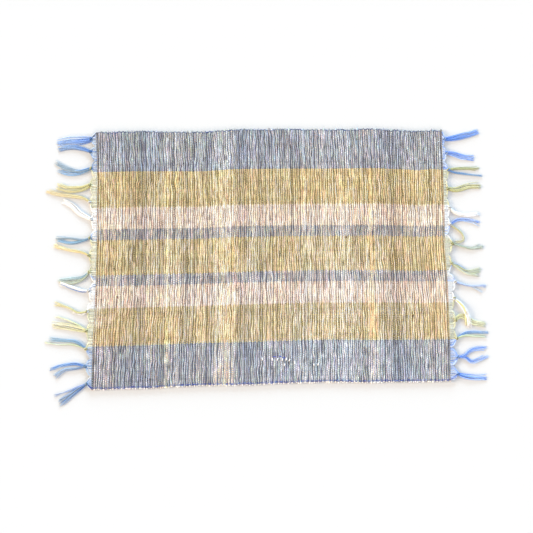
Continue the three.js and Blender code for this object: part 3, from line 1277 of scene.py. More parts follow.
@dataclass
class Selvedge:
    """Stout outer warp cords that bind the bundle ends along a long edge and run into its end knots."""

    weave: Weave
    edge: Edge
    ties: tuple[np.ndarray, ...]
    seed: int = 71
    sides: int = 6
    half_size: float = 0.5 * MM
    flatness: float = 0.8
    girth: Drift = Drift(0.15, 40)
    inset: float = 0.5 * MM
    cord_step: float = 0.85 * MM
    scallop: float = 0.5 * MM
    scallop_in: float = 0.6
    jag_bundles: int = 2
    lift: float = 1.1 * MM
    tie_points: int = 4
    colour_stations: int = 70

    @property
    def cords(self) -> EdgeCords:
        """The edge's own cords."""
        return EDGE_CORDS[self.edge]

    def build(self, material: bpy.types.Material) -> bpy.types.Object:
        """Makes the edge's cords.

        Args:
            material: Finish of the cotton.

        Returns:
            The object.
        """
        name, cords = self.edge.value, self.cords.count
        rng = np.random.default_rng((self.seed, len(name)))
        line = self.line(rng)
        line = np.concatenate([self.tie(line[:, 0], 0), line, self.tie(line[:, -1], 1)[:, ::-1]], axis=1)
        points = line.shape[1]
        half = self.half_size * (1 + self.girth.along(rng, cords, points))
        palette = np.array(self.cords.colours)
        stops = palette[rng.integers(0, len(palette), (cords, self.colour_stations))]
        tints = np.repeat(smooth(stops, points)[:, :, None, :], self.sides, axis=2)
        mesh = StrandMesh(f"selvedge_{name}", rng)
        mesh.add(Strands(line, half, half * self.flatness, tints))
        return mesh.build(material)

    def line(self, rng: Random) -> np.ndarray:
        """Runs the cords unevenly over and under the bundle ends by turns.

        Args:
            rng: Source of the random values.

        Returns:
            Points of the cords, (cord, point, 3).
        """
        weave, outward = self.weave, self.edge.outward
        edge_y = np.full((weave.bundles, 1), outward * HALF_WIDTH)
        x = np.tile(weave.bundle_x(edge_y)[:, 0], (self.cords.count, 1))
        rank = np.arange(self.cords.count)[:, None]
        over = (np.arange(weave.bundles) + rank) % 2 == 0
        pull = self.scallop * np.where(over, 1.0, -self.scallop_in)
        jag = Drift(self.cords.jag, weave.bundles // self.jag_bundles)
        pull = pull + jag.along(rng, 1, weave.bundles)
        y = weave.outline.at(self.edge, x) - outward * (self.inset + rank * self.cord_step - pull)
        z = weave.outline.middle + self.lift * np.where(over, 1.0, -1.0)
        return np.stack([x, y, z], axis=-1)

    def tie(self, ends: np.ndarray, number: int) -> np.ndarray:
        """Runs from an end knot to the cords' ends.

        Args:
            ends: First or last point of each cord, (cord, 3).
            number: 0 for the left knot, 1 for the right one.

        Returns:
            Points of the ties, (cord, point, 3).
        """
        knot = np.array([*self.ties[number], self.weave.outline.middle])
        share = np.linspace(0.0, 1.0, self.tie_points, endpoint=False)[None, :, None]
        return knot * (1 - share) + ends[:, None, :] * share


@dataclass(frozen=True)
class Knot:
    """One knot, in millimetres: its place along the short edge and its distance beyond the field's end."""

    at: float
    out: float


@dataclass(frozen=True)
class Tail:
    """One loose tail: its knot, counted from the top, the points that it passes and its spread.

    The points are its distance beyond the field's end and its place along the edge, in millimetres. takes is
    the yarn that it gathers, tone its colour and over the height of its arch, where they are given.
    """

    knot: int
    near: Place
    far: Place
    tip: Place
    width: float
    takes: Yarn | None = None
    tone: Colour | None = None
    over: float = 0.0


LEFT_KNOTS = (
    Knot(154.8, 6.3), Knot(137.9, 7.2), Knot(115.9, 5.8), Knot(93.7, 7.3), Knot(71.5, 7.2), Knot(48.5, 4.8),
    Knot(24.6, 6.3), Knot(1.9, 7.3), Knot(-19.3, 6.6), Knot(-43.6, 7.1), Knot(-69.8, 9), Knot(-94.1, 9.5),
    Knot(-116.6, 9.6), Knot(-138.5, 10.2), Knot(-160.3, 8.4),
)
LEFT_TAILS = (
    Tail(1, (22.1, 153), (36.6, 153), (51, 150.3), 10, tone=linear(146, 182, 238)),
    Tail(2, (16.5, 141.7), (31.9, 144.6), (49.5, 141.4), 5),
    Tail(3, (21.5, 112.3), (36.8, 115.7), (53.6, 123.5), 3.5, tone=linear(157, 179, 195)),
    Tail(3, (21.5, 110.5), (35.8, 109.2), (49.8, 113.4), 5, tone=linear(145, 185, 223)),
    Tail(4, (17.5, 89.1), (33.7, 88.3), (50.3, 93.1), 7, tone=linear(223, 213, 158)),
    Tail(5, (17.4, 77.3), (39.8, 81), (63.7, 86.7), 4, tone=linear(227, 209, 161)),
    Tail(6, (20, 57), (30, 67), (42, 74), 6),
    Tail(7, (16.5, 22.4), (34.4, 25), (50.4, 25.5), 2.4, tone=linear(148, 170, 185)),
    Tail(7, (16.5, 21), (32.5, 18), (48.1, 22.5), 3, tone=linear(134, 176, 206)),
    Tail(8, (17.2, 6.5), (34.1, 9.9), (52.4, 16), 3, tone=linear(236, 216, 161)),
    Tail(9, (15.8, -26), (30.8, -27), (47.6, -30.1), 3.5, tone=linear(183, 204, 203)),
    Tail(9, (15.8, -28.7), (29, -33), (46.2, -31), 4, tone=linear(186, 192, 168)),
    Tail(10, (15.5, -42.6), (28.9, -37.9), (44, -31.9), 4),
    Tail(10, (15.5, -44.8), (27, -41.5), (43.1, -33.3), 1.2, Yarn.BLUE, linear(142, 166, 212)),
    Tail(11, (20.4, -70.8), (32.8, -64.1), (50.6, -57), 2, Yarn.YELLOW, linear(222, 210, 148)),
    Tail(11, (14.5, -72.5), (20.5, -72), (28, -69.5), 3, Yarn.WHITE),
    Tail(12, (21, -90.9), (36.8, -87.5), (53.1, -85.5), 7, tone=linear(240, 232, 190)),
    Tail(12, (21, -86), (37, -78.9), (49.5, -75.8), 2.2, tone=linear(226, 224, 180)),
    Tail(13, (23.3, -107.1), (40.9, -105.8), (56.8, -104), 3, Yarn.BLUE, linear(150, 185, 210)),
    Tail(13, (25.9, -111.1), (45.2, -110.5), (62.2, -107.7), 3, Yarn.YELLOW, linear(211, 217, 186)),
    Tail(14, (24.6, -135.2), (41.2, -137.9), (55.4, -142.5), 4),
    Tail(14, (22.8, -141.3), (36.7, -142.8), (48.7, -151.7), 3),
    Tail(15, (20.7, -164.8), (28.4, -168.2), (49.1, -174.7), 2.5, tone=linear(170, 186, 220)),
    Tail(15, (18.9, -165.9), (28.4, -172.5), (44.7, -182.1), 6),
    Tail(15, (18.9, -168.4), (28.3, -176.4), (41.2, -189.1), 4),
)
RIGHT_KNOTS = (
    Knot(152.8, 3.7), Knot(134.1, 5.7), Knot(110.8, 7.5), Knot(85.7, 5.5), Knot(59.8, 6.5), Knot(37.5, 6.2),
    Knot(12.3, 8.3), Knot(-14, 6.1), Knot(-38, 9.8), Knot(-59.9, 7.4), Knot(-87.7, 8.1), Knot(-111, 8),
    Knot(-135.1, 8.7), Knot(-156.7, 7.7),
)
RIGHT_TAILS = (
    Tail(1, (12.7, 153.8), (33.8, 158.5), (50.7, 163.9), 6.5, tone=linear(122, 170, 250)),
    Tail(2, (14.6, 132.9), (28.6, 128.3), (43.3, 127.6), 6.5),
    Tail(3, (12.8, 112.5), (29.8, 113.3), (49.9, 114.1), 3.2, Yarn.YELLOW, linear(187, 191, 143)),
    Tail(3, (14.5, 107.6), (31.3, 105.4), (52.9, 103.2), 2.8, Yarn.BLUE, linear(126, 166, 206)),
    Tail(4, (17, 84.1), (34.3, 88.5), (50.8, 89), 5.8, tone=linear(204, 202, 148)),
    Tail(5, (13, 54.1), (26.9, 50.2), (47.1, 51.3), 4, tone=linear(250, 252, 255)),
    Tail(6, (17.2, 43.5), (32.1, 42.7), (47.7, 38.2), 4, Yarn.BLUE),
    Tail(6, (20.9, 26.5), (22.9, 16.3), (8.2, 12.2), 2, Yarn.WHITE, linear(196, 194, 155)),
    Tail(7, (20.3, 8.5), (34.1, 5.4), (49.7, 8.4), 2.2, tone=linear(178, 187, 170)),
    Tail(8, (14.4, -18.7), (27.1, -25.3), (45.4, -21.9), 4.5, tone=linear(196, 205, 171)),
    Tail(8, (14.3, -20.1), (27, -28.1), (42.7, -29.7), 2, tone=linear(209, 212, 192)),
    Tail(8, (12.7, -15.3), (18.1, -18.3), (23.5, -22.5), 1.6, Yarn.BLUE, linear(134, 154, 191)),
    Tail(9, (17.1, -40.4), (29.9, -43.3), (50.4, -43.1), 2.4, tone=linear(178, 196, 232)),
    Tail(9, (28.1, -43.3), (35.3, -47), (45.3, -52.7), 1.2, tone=linear(200, 215, 235)),
    Tail(10, (16.8, -69.1), (23.5, -83.6), (24.5, -98.7), 4.5, Yarn.WHITE, over=1.6),
    Tail(10, (19.2, -70.5), (21.5, -83.5), (22.1, -95), 3.5, Yarn.YELLOW, linear(250, 242, 178), 1.6),
    Tail(10, (22.6, -83.6), (28.4, -99.4), (37.4, -108.9), 1.5, Yarn.YELLOW, linear(236, 238, 190), 1.6),
    Tail(11, (16.1, -83.5), (31, -92.3), (47.6, -95.4), 7.5, tone=linear(224, 224, 184)),
    Tail(12, (20.8, -103.9), (34.8, -103.4), (50.8, -104.1), 3.6, Yarn.BLUE, linear(135, 173, 217)),
    Tail(12, (19.7, -107.5), (34.5, -108.7), (47.5, -108.9), 3, Yarn.YELLOW, linear(203, 216, 188)),
    Tail(13, (16.7, -133.4), (28.1, -125.9), (47.5, -124.2), 4),
    Tail(13, (18.4, -136.1), (27.4, -141.7), (48.6, -134.4), 3.6),
    Tail(14, (15.4, -159.5), (29.2, -162), (45.6, -162.3), 6),
)


@dataclass(frozen=True)
class FringeYarn:
    """Looks of one yarn in the fringes.

    shades are its colours; straight is the share of a bare thread before it bends to its knot; whitening is
    how far such a thread is paled towards white beside the field, least and most; deep is the gain at the
    knots.
    """

    shades: tuple[Colour, ...]
    straight: float
    whitening: Span
    deep: Colour


FRINGE_YARNS: dict[Yarn, FringeYarn] = {
    Yarn.BLUE: FringeYarn(
        (linear(100, 150, 240), linear(132, 174, 250), linear(150, 188, 254), linear(190, 214, 255)),
        0.3, (0.1, 0.7), (0.62, 0.7, 0.9),
    ),
    Yarn.YELLOW: FringeYarn(
        (linear(206, 202, 146), linear(228, 224, 170), linear(240, 236, 192), linear(214, 212, 160)),
        0.6, (0.3, 0.6), (0.86, 0.86, 0.74),
    ),
    Yarn.WHITE: FringeYarn(
        (linear(255, 255, 255), linear(255, 252, 248)),
        0.65, (1.0, 1.0), (0.97, 0.97, 0.95),
    ),
}
# painted shade: the left fringe's blue yarn is darker than the right's
LEFT_BLUE_PAINTED_SHADE = (0.76, 0.77, 0.66)


def spline(points: np.ndarray, samples: int, fine: int = 24) -> np.ndarray:
    """Samples a smooth curve through a few points.

    Args:
        points: Points that the curve passes, (point, 2).
        samples: Number of samples.
        fine: Steps from each point to the next, before the samples are spaced out.

    Returns:
        Places on the curve, evenly spaced, (sample, 2).
    """
    held = np.concatenate([points[:1], points, points[-1:]])
    share = np.linspace(0.0, 1.0, fine, endpoint=False)[:, None]
    runs = []
    for before, start, end, after in zip(held, held[1:], held[2:], held[3:]):
        leave, arrive = (end - before) / 2, (after - start) / 2
        cubic = 2 * start - 2 * end + leave + arrive
        square = -3 * start + 3 * end - 2 * leave - arrive
        runs.append(cubic * share ** 3 + square * share ** 2 + leave * share + start)
    line = np.concatenate([*runs, points[-1:]])
    length = np.concatenate([[0.0], np.cumsum(np.linalg.norm(np.diff(line, axis=0), axis=1))])
    even = np.linspace(0.0, length[-1], samples)
    return np.stack([np.interp(even, length, line[:, axis]) for axis in (0, 1)], axis=-1)


@dataclass(frozen=True)
class KnotLump:
    """Form of a wrapped knot, made as one short thick strand with winding ridges."""

    radius: float = 2.3 * MM
    height: float = 2.9 * MM
    stretch: float = 1.05
    end_size: float = 0.04
    fullness: float = 0.8
    rings: int = 12
    sides: int = 16
    wraps: int = 3
    winding: float = 4.2
    ridge: float = 0.13
    groove_painted_shade: float = 0.2
    crest_painted_light: float = 0.75

    def strand(self, centre: np.ndarray, ahead: np.ndarray, start: float, colours: np.ndarray) -> Strands:
        """Shapes the lump.

        Args:
            centre: Place of the knot, (2,).
            ahead: The way that its tails leave, (2,).
            start: Angle at which the ridges start.
            colours: Colour of each wrap.

        Returns:
            The lump.
        """
        share = np.linspace(-1.0, 1.0, self.rings)
        round_off = np.sqrt(np.clip(1 - share ** 2, self.end_size, 1)) ** self.fullness
        plan = centre + ahead * (share * self.radius * self.stretch)[:, None]
        z = np.full((self.rings, 1), self.height / 2)
        turn = math.tau * np.arange(self.sides) / self.sides
        phase = self.wraps * turn + self.winding * share[:, None] + start
        wrap = (np.floor(phase / math.tau + 0.5).astype(int)) % self.wraps
        # painted shade darkens the knot, most in the grooves between the wraps, lighter on the crests
        gain = self.groove_painted_shade + (self.crest_painted_light - self.groove_painted_shade) * (0.5 + 0.5 * np.cos(phase))
        return Strands(
            np.concatenate([plan, z], axis=1)[None],
            (self.radius * round_off)[None],
            (self.height / 2 * round_off)[None],
            (colours[wrap] * gain[..., None])[None],
            (1 + self.ridge * np.cos(phase))[None],
        )


@dataclass
class Fringe:
    """Warp ends of one short edge: bare threads, knots and loose tails."""

    weave: Weave
    edge: Edge
    knots: tuple[Knot, ...]
    tails: tuple[Tail, ...]
    blue_painted_shade: Colour = (1.0, 1.0, 1.0)
    lump: KnotLump = KnotLump()
    seed: int = 97
    sides: int = 4
    half_width: float = 0.6 * MM
    half_height: float = 0.44 * MM
    girth_range: Span = (0.85, 1.15)
    fan_points: int = 7
    fan_inset: float = 0.6 * MM
    fan_bend: float = 1.7
    fan_thin: float = 0.9
    fan_rise: float = 0.75 * MM
    fan_loose: float = 0.5 * MM
    fan_loose_start: float = 0.2
    knot_spread: float = 1.5 * MM
    knot_rise: float = 1.5 * MM
    knot_look: int = 8
    tail_points: int = 18
    route_points: int = 60
    spread: float = 1.25
    end_spread: float = 0.55
    tip_spread: float = 0.2
    strand_room: float = 0.7
    least_spread: float = 0.3 * MM
    short_share: float = 0.14
    waver: Drift = Drift(0.5 * MM, 5)
    fray: float = 1.4 * MM
    pile_low: float = 0.36 * MM
    pile_high: float = 1.7 * MM
    pile_fall: float = 0.55
    tip_thin: float = 0.35
    tip_end: float = 0.6
    tip_pale: float = 0.28
    shade_spread: float = 0.12
    dye: Drift = Drift(0.08, 6)
    whitening_points: int = 3
    inner_reach: float = 40 * MM
    inner_pale: float = 0.75
    deep_share: float = 0.6

    def build(self, material: bpy.types.Material) -> bpy.types.Object:
        """Makes the whole fringe.

        Args:
            material: Finish of the cotton.

        Returns:
            The object.
        """
        self.rng = np.random.default_rng((self.seed, self.edge.outward + 1))
        mesh = StrandMesh(f"fringe_{self.edge.value}_yarn", self.rng)
        for number in range(1, len(self.knots) + 1):
            places = self.places_of(number)
            mesh.add(self.strands(number, places))
            mesh.add(self.knot_lump(number, places))
        return mesh.build(material)

    def places_of(self, number: int) -> np.ndarray:
        """Lists the threads that a knot gathers, which are those nearest to it.

        Args:
            number: The knot, counted from 1 at the top.

        Returns:
            Nominal places of the threads.
        """
        at = np.array([knot.at for knot in self.knots]) * MM
        nearest = np.abs(self.weave.thread_place[:, None] - at).argmin(axis=1)
        return self.weave.thread_place[nearest == number - 1]

    def plan_point(self, out: float, at: float) -> Place:
        """Point in plan, in metres, from its distance out and its place along the edge in millimetres."""
        return self.edge.outward * (HALF_LENGTH + out * MM), at * MM

    def centre_of(self, number: int) -> np.ndarray:
        """Place of a knot, (2,)."""
        knot = self.knots[number - 1]
        return np.array(self.plan_point(knot.out, knot.at))

    def end_knot(self, edge: Edge) -> np.ndarray:
        """Place of the knot next to the top or bottom edge, (2,)."""
        return self.centre_of(1 if edge is Edge.TOP else len(self.knots))

    def route(self, tail: Tail) -> np.ndarray:
        """Even points along a tail, from its knot to its tip, (point, 2)."""
        stops = [self.plan_point(*stop) for stop in (tail.near, tail.far, tail.tip)]
        return spline(np.array([self.centre_of(tail.knot), *stops]), self.route_points)

    def share_out(self, number: int, places: np.ndarray) -> list[Tail]:
        """Chooses the tail that each thread of a knot ends in.

        Args:
            number: The knot.
            places: Nominal places of its threads.

        Returns:
            One tail for each thread.
        """
        own = [tail for tail in self.tails if tail.knot == number]
        chosen = []
        for place in places:
            yarn = self.weave.yarn_of(place)
            fitting = [tail for tail in own if tail.takes is yarn]
            fitting = fitting or [tail for tail in own if tail.takes is None] or own
            weights = np.array([tail.width for tail in fitting])
            chosen.append(fitting[self.rng.choice(len(fitting), p=weights / weights.sum())])
        return chosen

    def shade_of(self, place: float) -> Colour:
        """Draws a shade of a thread's yarn, with the side's painted shade if it is blue.

        Args:
            place: Nominal place of the thread.

        Returns:
            The linear colour.
        """
        yarn = self.weave.yarn_of(place)
        shades = FRINGE_YARNS[yarn].shades
        shade = shades[self.rng.integers(len(shades))]
        # painted shade of the side, on blue yarn only
        painted_side_shade = self.blue_painted_shade if yarn is Yarn.BLUE else (1.0, 1.0, 1.0)
        return tuple(part * gain for part, gain in zip(shade, painted_side_shade))

    def paleness(self, place: float) -> float:
        """Draws how far a bare thread is paled towards white beside the field.

        Args:
            place: Nominal place of the thread.

        Returns:
            0 for its own colour, 1 for white.
        """
        yarn = self.weave.yarn_of(place)
        if yarn is Yarn.BLUE and abs(place) < self.inner_reach and self.rng.random() < self.inner_pale:
            return 1.0
        return self.rng.uniform(*FRINGE_YARNS[yarn].whitening)

    def strands(self, number: int, places: np.ndarray) -> Strands:
        """Runs threads from the field's edge, through the knot, to the tips of its tails.

        Args:
            number: The knot.
            places: Nominal places of its threads.

        Returns:
            The threads.
        """
        tails = self.share_out(number, places)
        centres = np.concatenate([self.fan(number, places), self.loose_ends(tails)], axis=1)
        girth = self.girth(len(places))
        tints = np.repeat(self.tints(places, tails)[:, :, None, :], self.sides, axis=2)
        wide, high = self.half_width * girth, self.half_height * girth
        return Strands(centres, wide, high, tints, turn=math.pi / self.sides)

    def fan(self, number: int, places: np.ndarray) -> np.ndarray:
        """Runs bare threads from the field's edge to their knot.

        Args:
            number: The knot.
            places: Nominal places of its threads.

        Returns:
            Points of the threads, (thread, point, 3).
        """
        weave, count = self.weave, len(places)
        edge_x = weave.outline.at(self.edge, places)
        start_x = edge_x - self.edge.outward * self.fan_inset
        start = np.stack([start_x, weave.thread_y(places, edge_x)], axis=-1)
        beside = np.linspace(-0.5, 0.5, count) * self.knot_spread
        gather = self.centre_of(number) + np.stack([np.zeros(count), beside], axis=-1)
        straight = np.array([FRINGE_YARNS[weave.yarn_of(place)].straight for place in places])[:, None]
        share = np.tile(np.linspace(0.0, 1.0, self.fan_points, endpoint=False), (count, 1))
        bend = np.clip((share - straight) / (1 - straight), 0.0, 1.0) ** self.fan_bend
        share = np.stack([share, bend], axis=-1)
        plan = start[:, None, :] * (1 - share) + gather[:, None, :] * share
        loose = self.fan_loose * self.rng.uniform(-1, 1, (count, 1))
        z = weave.outline.middle + self.fan_rise * np.linspace(1.0, 0.0, self.fan_points)
        z = z + loose * np.linspace(self.fan_loose_start, 1, self.fan_points)
        return np.concatenate([plan, z[..., None]], axis=-1)

    def loose_ends(self, tails: list[Tail]) -> np.ndarray:
        """Lays each thread of a knot along its tail.

        Args:
            tails: The tail of each thread.

        Returns:
            Points of the threads, (thread, point, 3).
        """
        rng, count = self.rng, len(tails)
        share = np.linspace(0.0, 1.0, self.tail_points)
        plan = np.zeros((count, self.tail_points, 2))
        rank = rng.uniform(-1.0, 1.0, count)
        wave = self.waver.along(rng, count, self.tail_points)
        fray = rng.normal(0.0, 1.0, (count, 1)) * share ** 3
        ends = self.end_spread + self.tip_spread * share
        fullness = ends + (1 - ends) * np.sin(math.pi * share)
        for i, tail in enumerate(tails):
            line = self.route(tail)
            reach = 1.0 - self.short_share * rng.random() ** 2
            along = np.linspace(0.0, reach, self.tail_points) * (len(line) - 1)
            steps = np.arange(len(line))
            point = np.stack([np.interp(along, steps, line[:, axis]) for axis in (0, 1)], axis=-1)
            ahead = np.gradient(point, axis=0)
            ahead /= np.linalg.norm(ahead, axis=1, keepdims=True)
            sideways = np.stack([-ahead[:, 1], ahead[:, 0]], axis=-1)
            spread = fullness * self.spread * tail.width * MM / 2
            offset = rank[i] * np.maximum(spread - self.strand_room * self.half_width, self.least_spread)
            offset = offset + wave[i] * share + self.fray * fray[i]
            plan[i] = point + sideways * offset[:, None]
        height = rng.uniform(self.pile_low, self.pile_high, (count, 1)) * (1 - self.pile_fall * share)
        height = height + np.array([[tail.over * MM] for tail in tails]) * np.sin(math.pi * share)
        height[:, 0] = self.knot_rise
        height = np.maximum(height, self.pile_low)
        return np.concatenate([plan, height[..., None]], axis=-1)

    def girth(self, count: int) -> np.ndarray:
        """Draws how thick each thread is, thinner in the fan and towards its tip.

        Args:
            count: Number of threads.

        Returns:
            Shares of the usual thickness, (thread, point).
        """
        fan = np.full(self.fan_points, self.fan_thin)
        tail = 1 - self.tip_thin * np.linspace(0.0, 1.0, self.tail_points) ** 2
        tail[-1] *= self.tip_end
        return self.rng.uniform(*self.girth_range, (count, 1)) * np.concatenate([fan, tail])

    def tints(self, places: np.ndarray, tails: list[Tail]) -> np.ndarray:
        """Colours threads: paled towards white beside the field, deep at the knot, paler at the tips.

        Args:
            places: Nominal places of the threads.
            tails: The tail of each thread.

        Returns:
            Linear colours, (thread, point, 3).
        """
        rng, count, fan = self.rng, len(places), self.fan_points
        points = fan + self.tail_points
        colours = [self.shade_of(place) for place in places]
        tones = [tail.tone or colour for tail, colour in zip(tails, colours)]
        base = np.repeat(np.stack([colours, tones], axis=1), (fan, self.tail_points), axis=1)
        shade = 1 + self.shade_spread * rng.uniform(-1, 1, (count, 1)) + self.dye.along(rng, count, points)
        tints = shade[..., None] * base
        pale = np.zeros((count, points))
        pale[:, :fan] = np.clip(np.arange(fan, 0, -1) / self.whitening_points, 0.0, 1.0)
        pale *= np.array([self.paleness(place) for place in places])[:, None]
        pale[:, fan:] = self.tip_pale * rng.random((count, 1)) * np.linspace(0.0, 1.0, self.tail_points)
        tints = tints * (1 - pale[..., None]) + pale[..., None]
        fade = np.clip(np.linspace(0.0, 1.0 / self.deep_share, self.tail_points), 0.0, 1.0)[None, :, None]
        deep = np.array([FRINGE_YARNS[self.weave.yarn_of(place)].deep for place in places])[:, None, :]
        tints[:, fan:] *= fade + (1 - fade) * deep
        return tints

    def knot_lump(self, number: int, places: np.ndarray) -> Strands:
        """Makes a knot's lump in the colours of its threads.

        Args:
            number: The knot.
            places: Nominal places of its threads.

        Returns:
            The lump.
        """
        centre = self.centre_of(number)
        own = [tail for tail in self.tails if tail.knot == number]
        ahead = np.mean([self.route(tail)[self.knot_look] for tail in own], axis=0) - centre
        ahead /= np.linalg.norm(ahead)
        start = self.rng.uniform(0, math.tau)
        colours = [self.shade_of(place) for place in self.rng.choice(places, self.lump.wraps)]
        return self.lump.strand(centre, ahead, start, np.array(colours))


@dataclass(frozen=True)
class Specks:
    """Small spindles of one kind that lie on the weave, at X and Y in millimetres.

    turn is the angle that they lie at, from the way of the warp.
    """

    name: str
    places: tuple[Place, ...]
    length: float
    half: float
    colour: Colour
    turn: float = math.pi / 2
    turn_spread: float = 0.25
    height: float = 2.75 * MM
    sag: float = 0.5 * MM
    end_size: float = 0.06
    flatness: float = 0.6
    rings: int = 7
    sides: int = 6
    seed: int = 113

    def build(self, weave: Weave, material: bpy.types.Material) -> bpy.types.Object:
        """Makes the spindles.

        Args:
            weave: Layout of the mat.
            material: Finish.

        Returns:
            The object.
        """
        rng = np.random.default_rng((self.seed, len(self.name)))
        count = len(self.places)
        share = np.linspace(-0.5, 0.5, self.rings)
        angle = rng.normal(0.0, self.turn_spread, count) + self.turn
        centre = np.array(self.places)[:, None, :] * MM
        ahead = np.stack([np.cos(angle), np.sin(angle)], axis=-1)[:, None, :]
        plan = centre + ahead * (share * self.length)[None, :, None]
        z = np.tile(self.height - self.sag * (2 * share) ** 2, (count, 1))
        girth = self.half * np.sqrt(np.clip(1 - (2 * share) ** 2, self.end_size, 1)) * np.ones((count, 1))
        tints = np.broadcast_to(np.array(self.colour), (count, self.rings, self.sides, 3))
        across = weave.across(plan[..., 0], plan[..., 1])
        centres = np.concatenate([plan, z[..., None]], axis=-1)
        mesh = StrandMesh(self.name, rng)
        mesh.add(Strands(centres, girth, girth * self.flatness, tints, across=across))
        return mesh.build(material)


WHITE_FLOATS = Specks(
    "white_floats",
    (
        (-15.2, -133.1), (-2.5, -133.7), (4, -133.9), (10.2, -134.2), (15.2, -133.8), (19.2, -135.1),
        (25.8, -138.5), (13, -140.8), (50.3, -141.4), (55.6, -141),
    ),
    4.0 * MM, 0.85 * MM, linear(254, 252, 250),
)
BLUE_DASHES = Specks(
    "blue_dashes",
    ((0.3, -130.8), (7.5, -130.4), (11.8, -132.2)),
    4.5 * MM, 0.6 * MM, linear(74, 92, 190), turn=0.0,
)
ROOT_NODULES = Specks(
    "root_nodules",
    ((-157, -156), (-199, -52), (37, 74), (96, 22), (-120, 101), (180, -81)),
    3.4 * MM, 0.9 * MM, linear(92, 70, 44),
)


@dataclass(frozen=True)
class Lamp:
    """One broad soft light: where it comes from in degrees, its strength and its tint."""

    name: str
    azimuth: float
    elevation: float
    strength: float
    tint: Colour
    spread: float = 18.0

    def build(self) -> None:
        """Adds the light to the scene."""
        data = bpy.data.lights.new(self.name, "SUN")
        data.energy = self.strength
        data.color = self.tint
        data.angle = math.radians(self.spread)
        lamp = bpy.data.objects.new(self.name, data)
        turn, rise = math.radians(self.azimuth), math.radians(self.elevation)
        source = Vector((math.cos(turn) * math.cos(rise), math.sin(turn) * math.cos(rise), math.sin(rise)))
        lamp.location = source
        lamp.rotation_euler = (-source).to_track_quat("-Z", "Y").to_euler()
        bpy.context.scene.collection.objects.link(lamp)


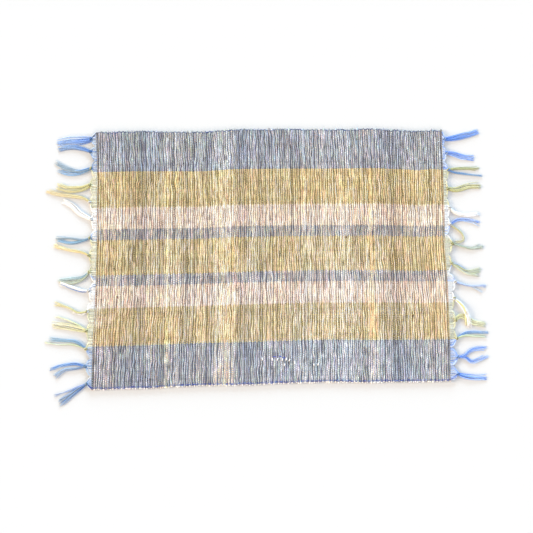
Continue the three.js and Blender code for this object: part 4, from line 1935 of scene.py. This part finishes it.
@dataclass
class Studio:
    """White surface, soft light and the camera above the mat."""

    floor_size: float = 40.0
    floor_drop: float = 0.2 * MM
    world_strength: float = 0.65
    world_tint: Colour = (0.911, 0.952, 1.0)
    lamps: tuple[Lamp, ...] = (
        Lamp("light_left", 176.0, 16.0, 4.05, (1.0, 0.8, 0.53)),
        Lamp("light_right", 8.0, 16.0, 1.7, (0.6, 0.78, 1.0)),
        Lamp("light_top", 92.0, 12.0, 4.62, (0.62, 0.82, 1.0)),
        Lamp("light_front", 272.0, 22.0, 1.4, (1.0, 0.75, 0.6)),
    )
    camera_place: tuple[float, float, float] = (-40.6 * MM, -99.4 * MM, 822.9 * MM)
    camera_target: tuple[float, float, float] = (-8.1 * MM, -14.9 * MM, 0.0)
    camera_roll: float = math.radians(-0.92)
    lens: float = 43.227
    sensor: float = 36.0
    near_limit: float = 10 * MM

    def build(self) -> None:
        """Makes the floor, the light, the camera and the view's tone."""
        self.floor()
        self.lights()
        self.camera()
        settings = bpy.context.scene.view_settings
        settings.view_transform = "Standard"
        settings.look = "None"

    def floor(self) -> None:
        """Makes the white surface under the mat."""
        reach = self.floor_size / 2
        mesh = bpy.data.meshes.new("floor")
        corners = [(-reach, -reach), (reach, -reach), (reach, reach), (-reach, reach)]
        mesh.from_pydata([(x, y, -self.floor_drop) for x, y in corners], [], [(0, 1, 2, 3)])
        mesh.materials.append(FloorFinish().material())
        floor = bpy.data.objects.new("floor", mesh)
        bpy.context.scene.collection.objects.link(floor)

    def lights(self) -> None:
        """Makes an even pale surround and the soft lights."""
        world = bpy.data.worlds.new("surround")
        world.use_nodes = True
        background = world.node_tree.nodes["Background"]
        background.inputs["Color"].default_value = (*self.world_tint, 1.0)
        background.inputs["Strength"].default_value = self.world_strength
        bpy.context.scene.world = world
        for lamp in self.lamps:
            lamp.build()

    def camera(self) -> None:
        """Makes the camera, which looks almost straight down."""
        place, target = Vector(self.camera_place), Vector(self.camera_target)
        ahead = (target - place).normalized()
        upward = Vector((-math.sin(self.camera_roll), math.cos(self.camera_roll), 0.0))
        right = ahead.cross(upward).normalized()
        upward = right.cross(ahead)
        data = bpy.data.cameras.new("camera")
        data.lens = self.lens
        data.sensor_width = self.sensor
        data.clip_start = self.near_limit
        camera = bpy.data.objects.new("camera", data)
        turn = Matrix((right, upward, -ahead)).transposed().to_4x4()
        camera.matrix_world = Matrix.Translation(place) @ turn
        bpy.context.scene.collection.objects.link(camera)
        bpy.context.scene.camera = camera


def settle(piece: bpy.types.Object, slot: str, *nodes: str) -> bpy.types.Object:
    """Ties a piece to the mat's body and hides the solids it stands for.

    Args:
        piece: The new piece.
        slot: Not used.
        nodes: Solids that the piece replaces.

    Returns:
        The same piece.
    """
    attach(piece, BODY)
    if nodes:
        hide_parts(*nodes)
    LOG.info("%s: %d faces", piece.name, len(piece.data.polygons))
    return piece


def main() -> None:
    """Builds the mat piece by piece on its frame."""
    logging.basicConfig(level=logging.INFO, format="%(name)s %(message)s")
    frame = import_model()
    Studio().build()
    root, cotton = RootFinish().material(), CottonFinish().material()
    weave = Weave(FieldOutline(frame["nodes"]["woven_field"]))
    weft = RootWeft(weave)
    field_piece = settle(weft.build(root), ROOT_SLOT, "woven_field")
    extras = [settle(LooseRoots(weft).build(root), ROOT_SLOT)]
    for number in range(len(BANDS)):
        extras.append(settle(WarpBand(weft, number).build(cotton), COTTON_SLOT))
    left = Fringe(weave, Edge.LEFT, LEFT_KNOTS, LEFT_TAILS, LEFT_BLUE_PAINTED_SHADE)
    right = Fringe(weave, Edge.RIGHT, RIGHT_KNOTS, RIGHT_TAILS)
    for edge in EDGE_CORDS:
        ties = (left.end_knot(edge), right.end_knot(edge))
        extras.append(settle(Selvedge(weave, edge, ties).build(cotton), COTTON_SLOT))
    extras.append(settle(left.build(cotton), COTTON_SLOT, "fringe_left"))
    extras.append(settle(right.build(cotton), COTTON_SLOT, "fringe_right"))
    extras.append(settle(WHITE_FLOATS.build(weave, cotton), COTTON_SLOT))
    extras.append(settle(BLUE_DASHES.build(weave, cotton), COTTON_SLOT))
    extras.append(settle(ROOT_NODULES.build(weave, root), ROOT_SLOT))


if __name__ == "__main__":
    main()
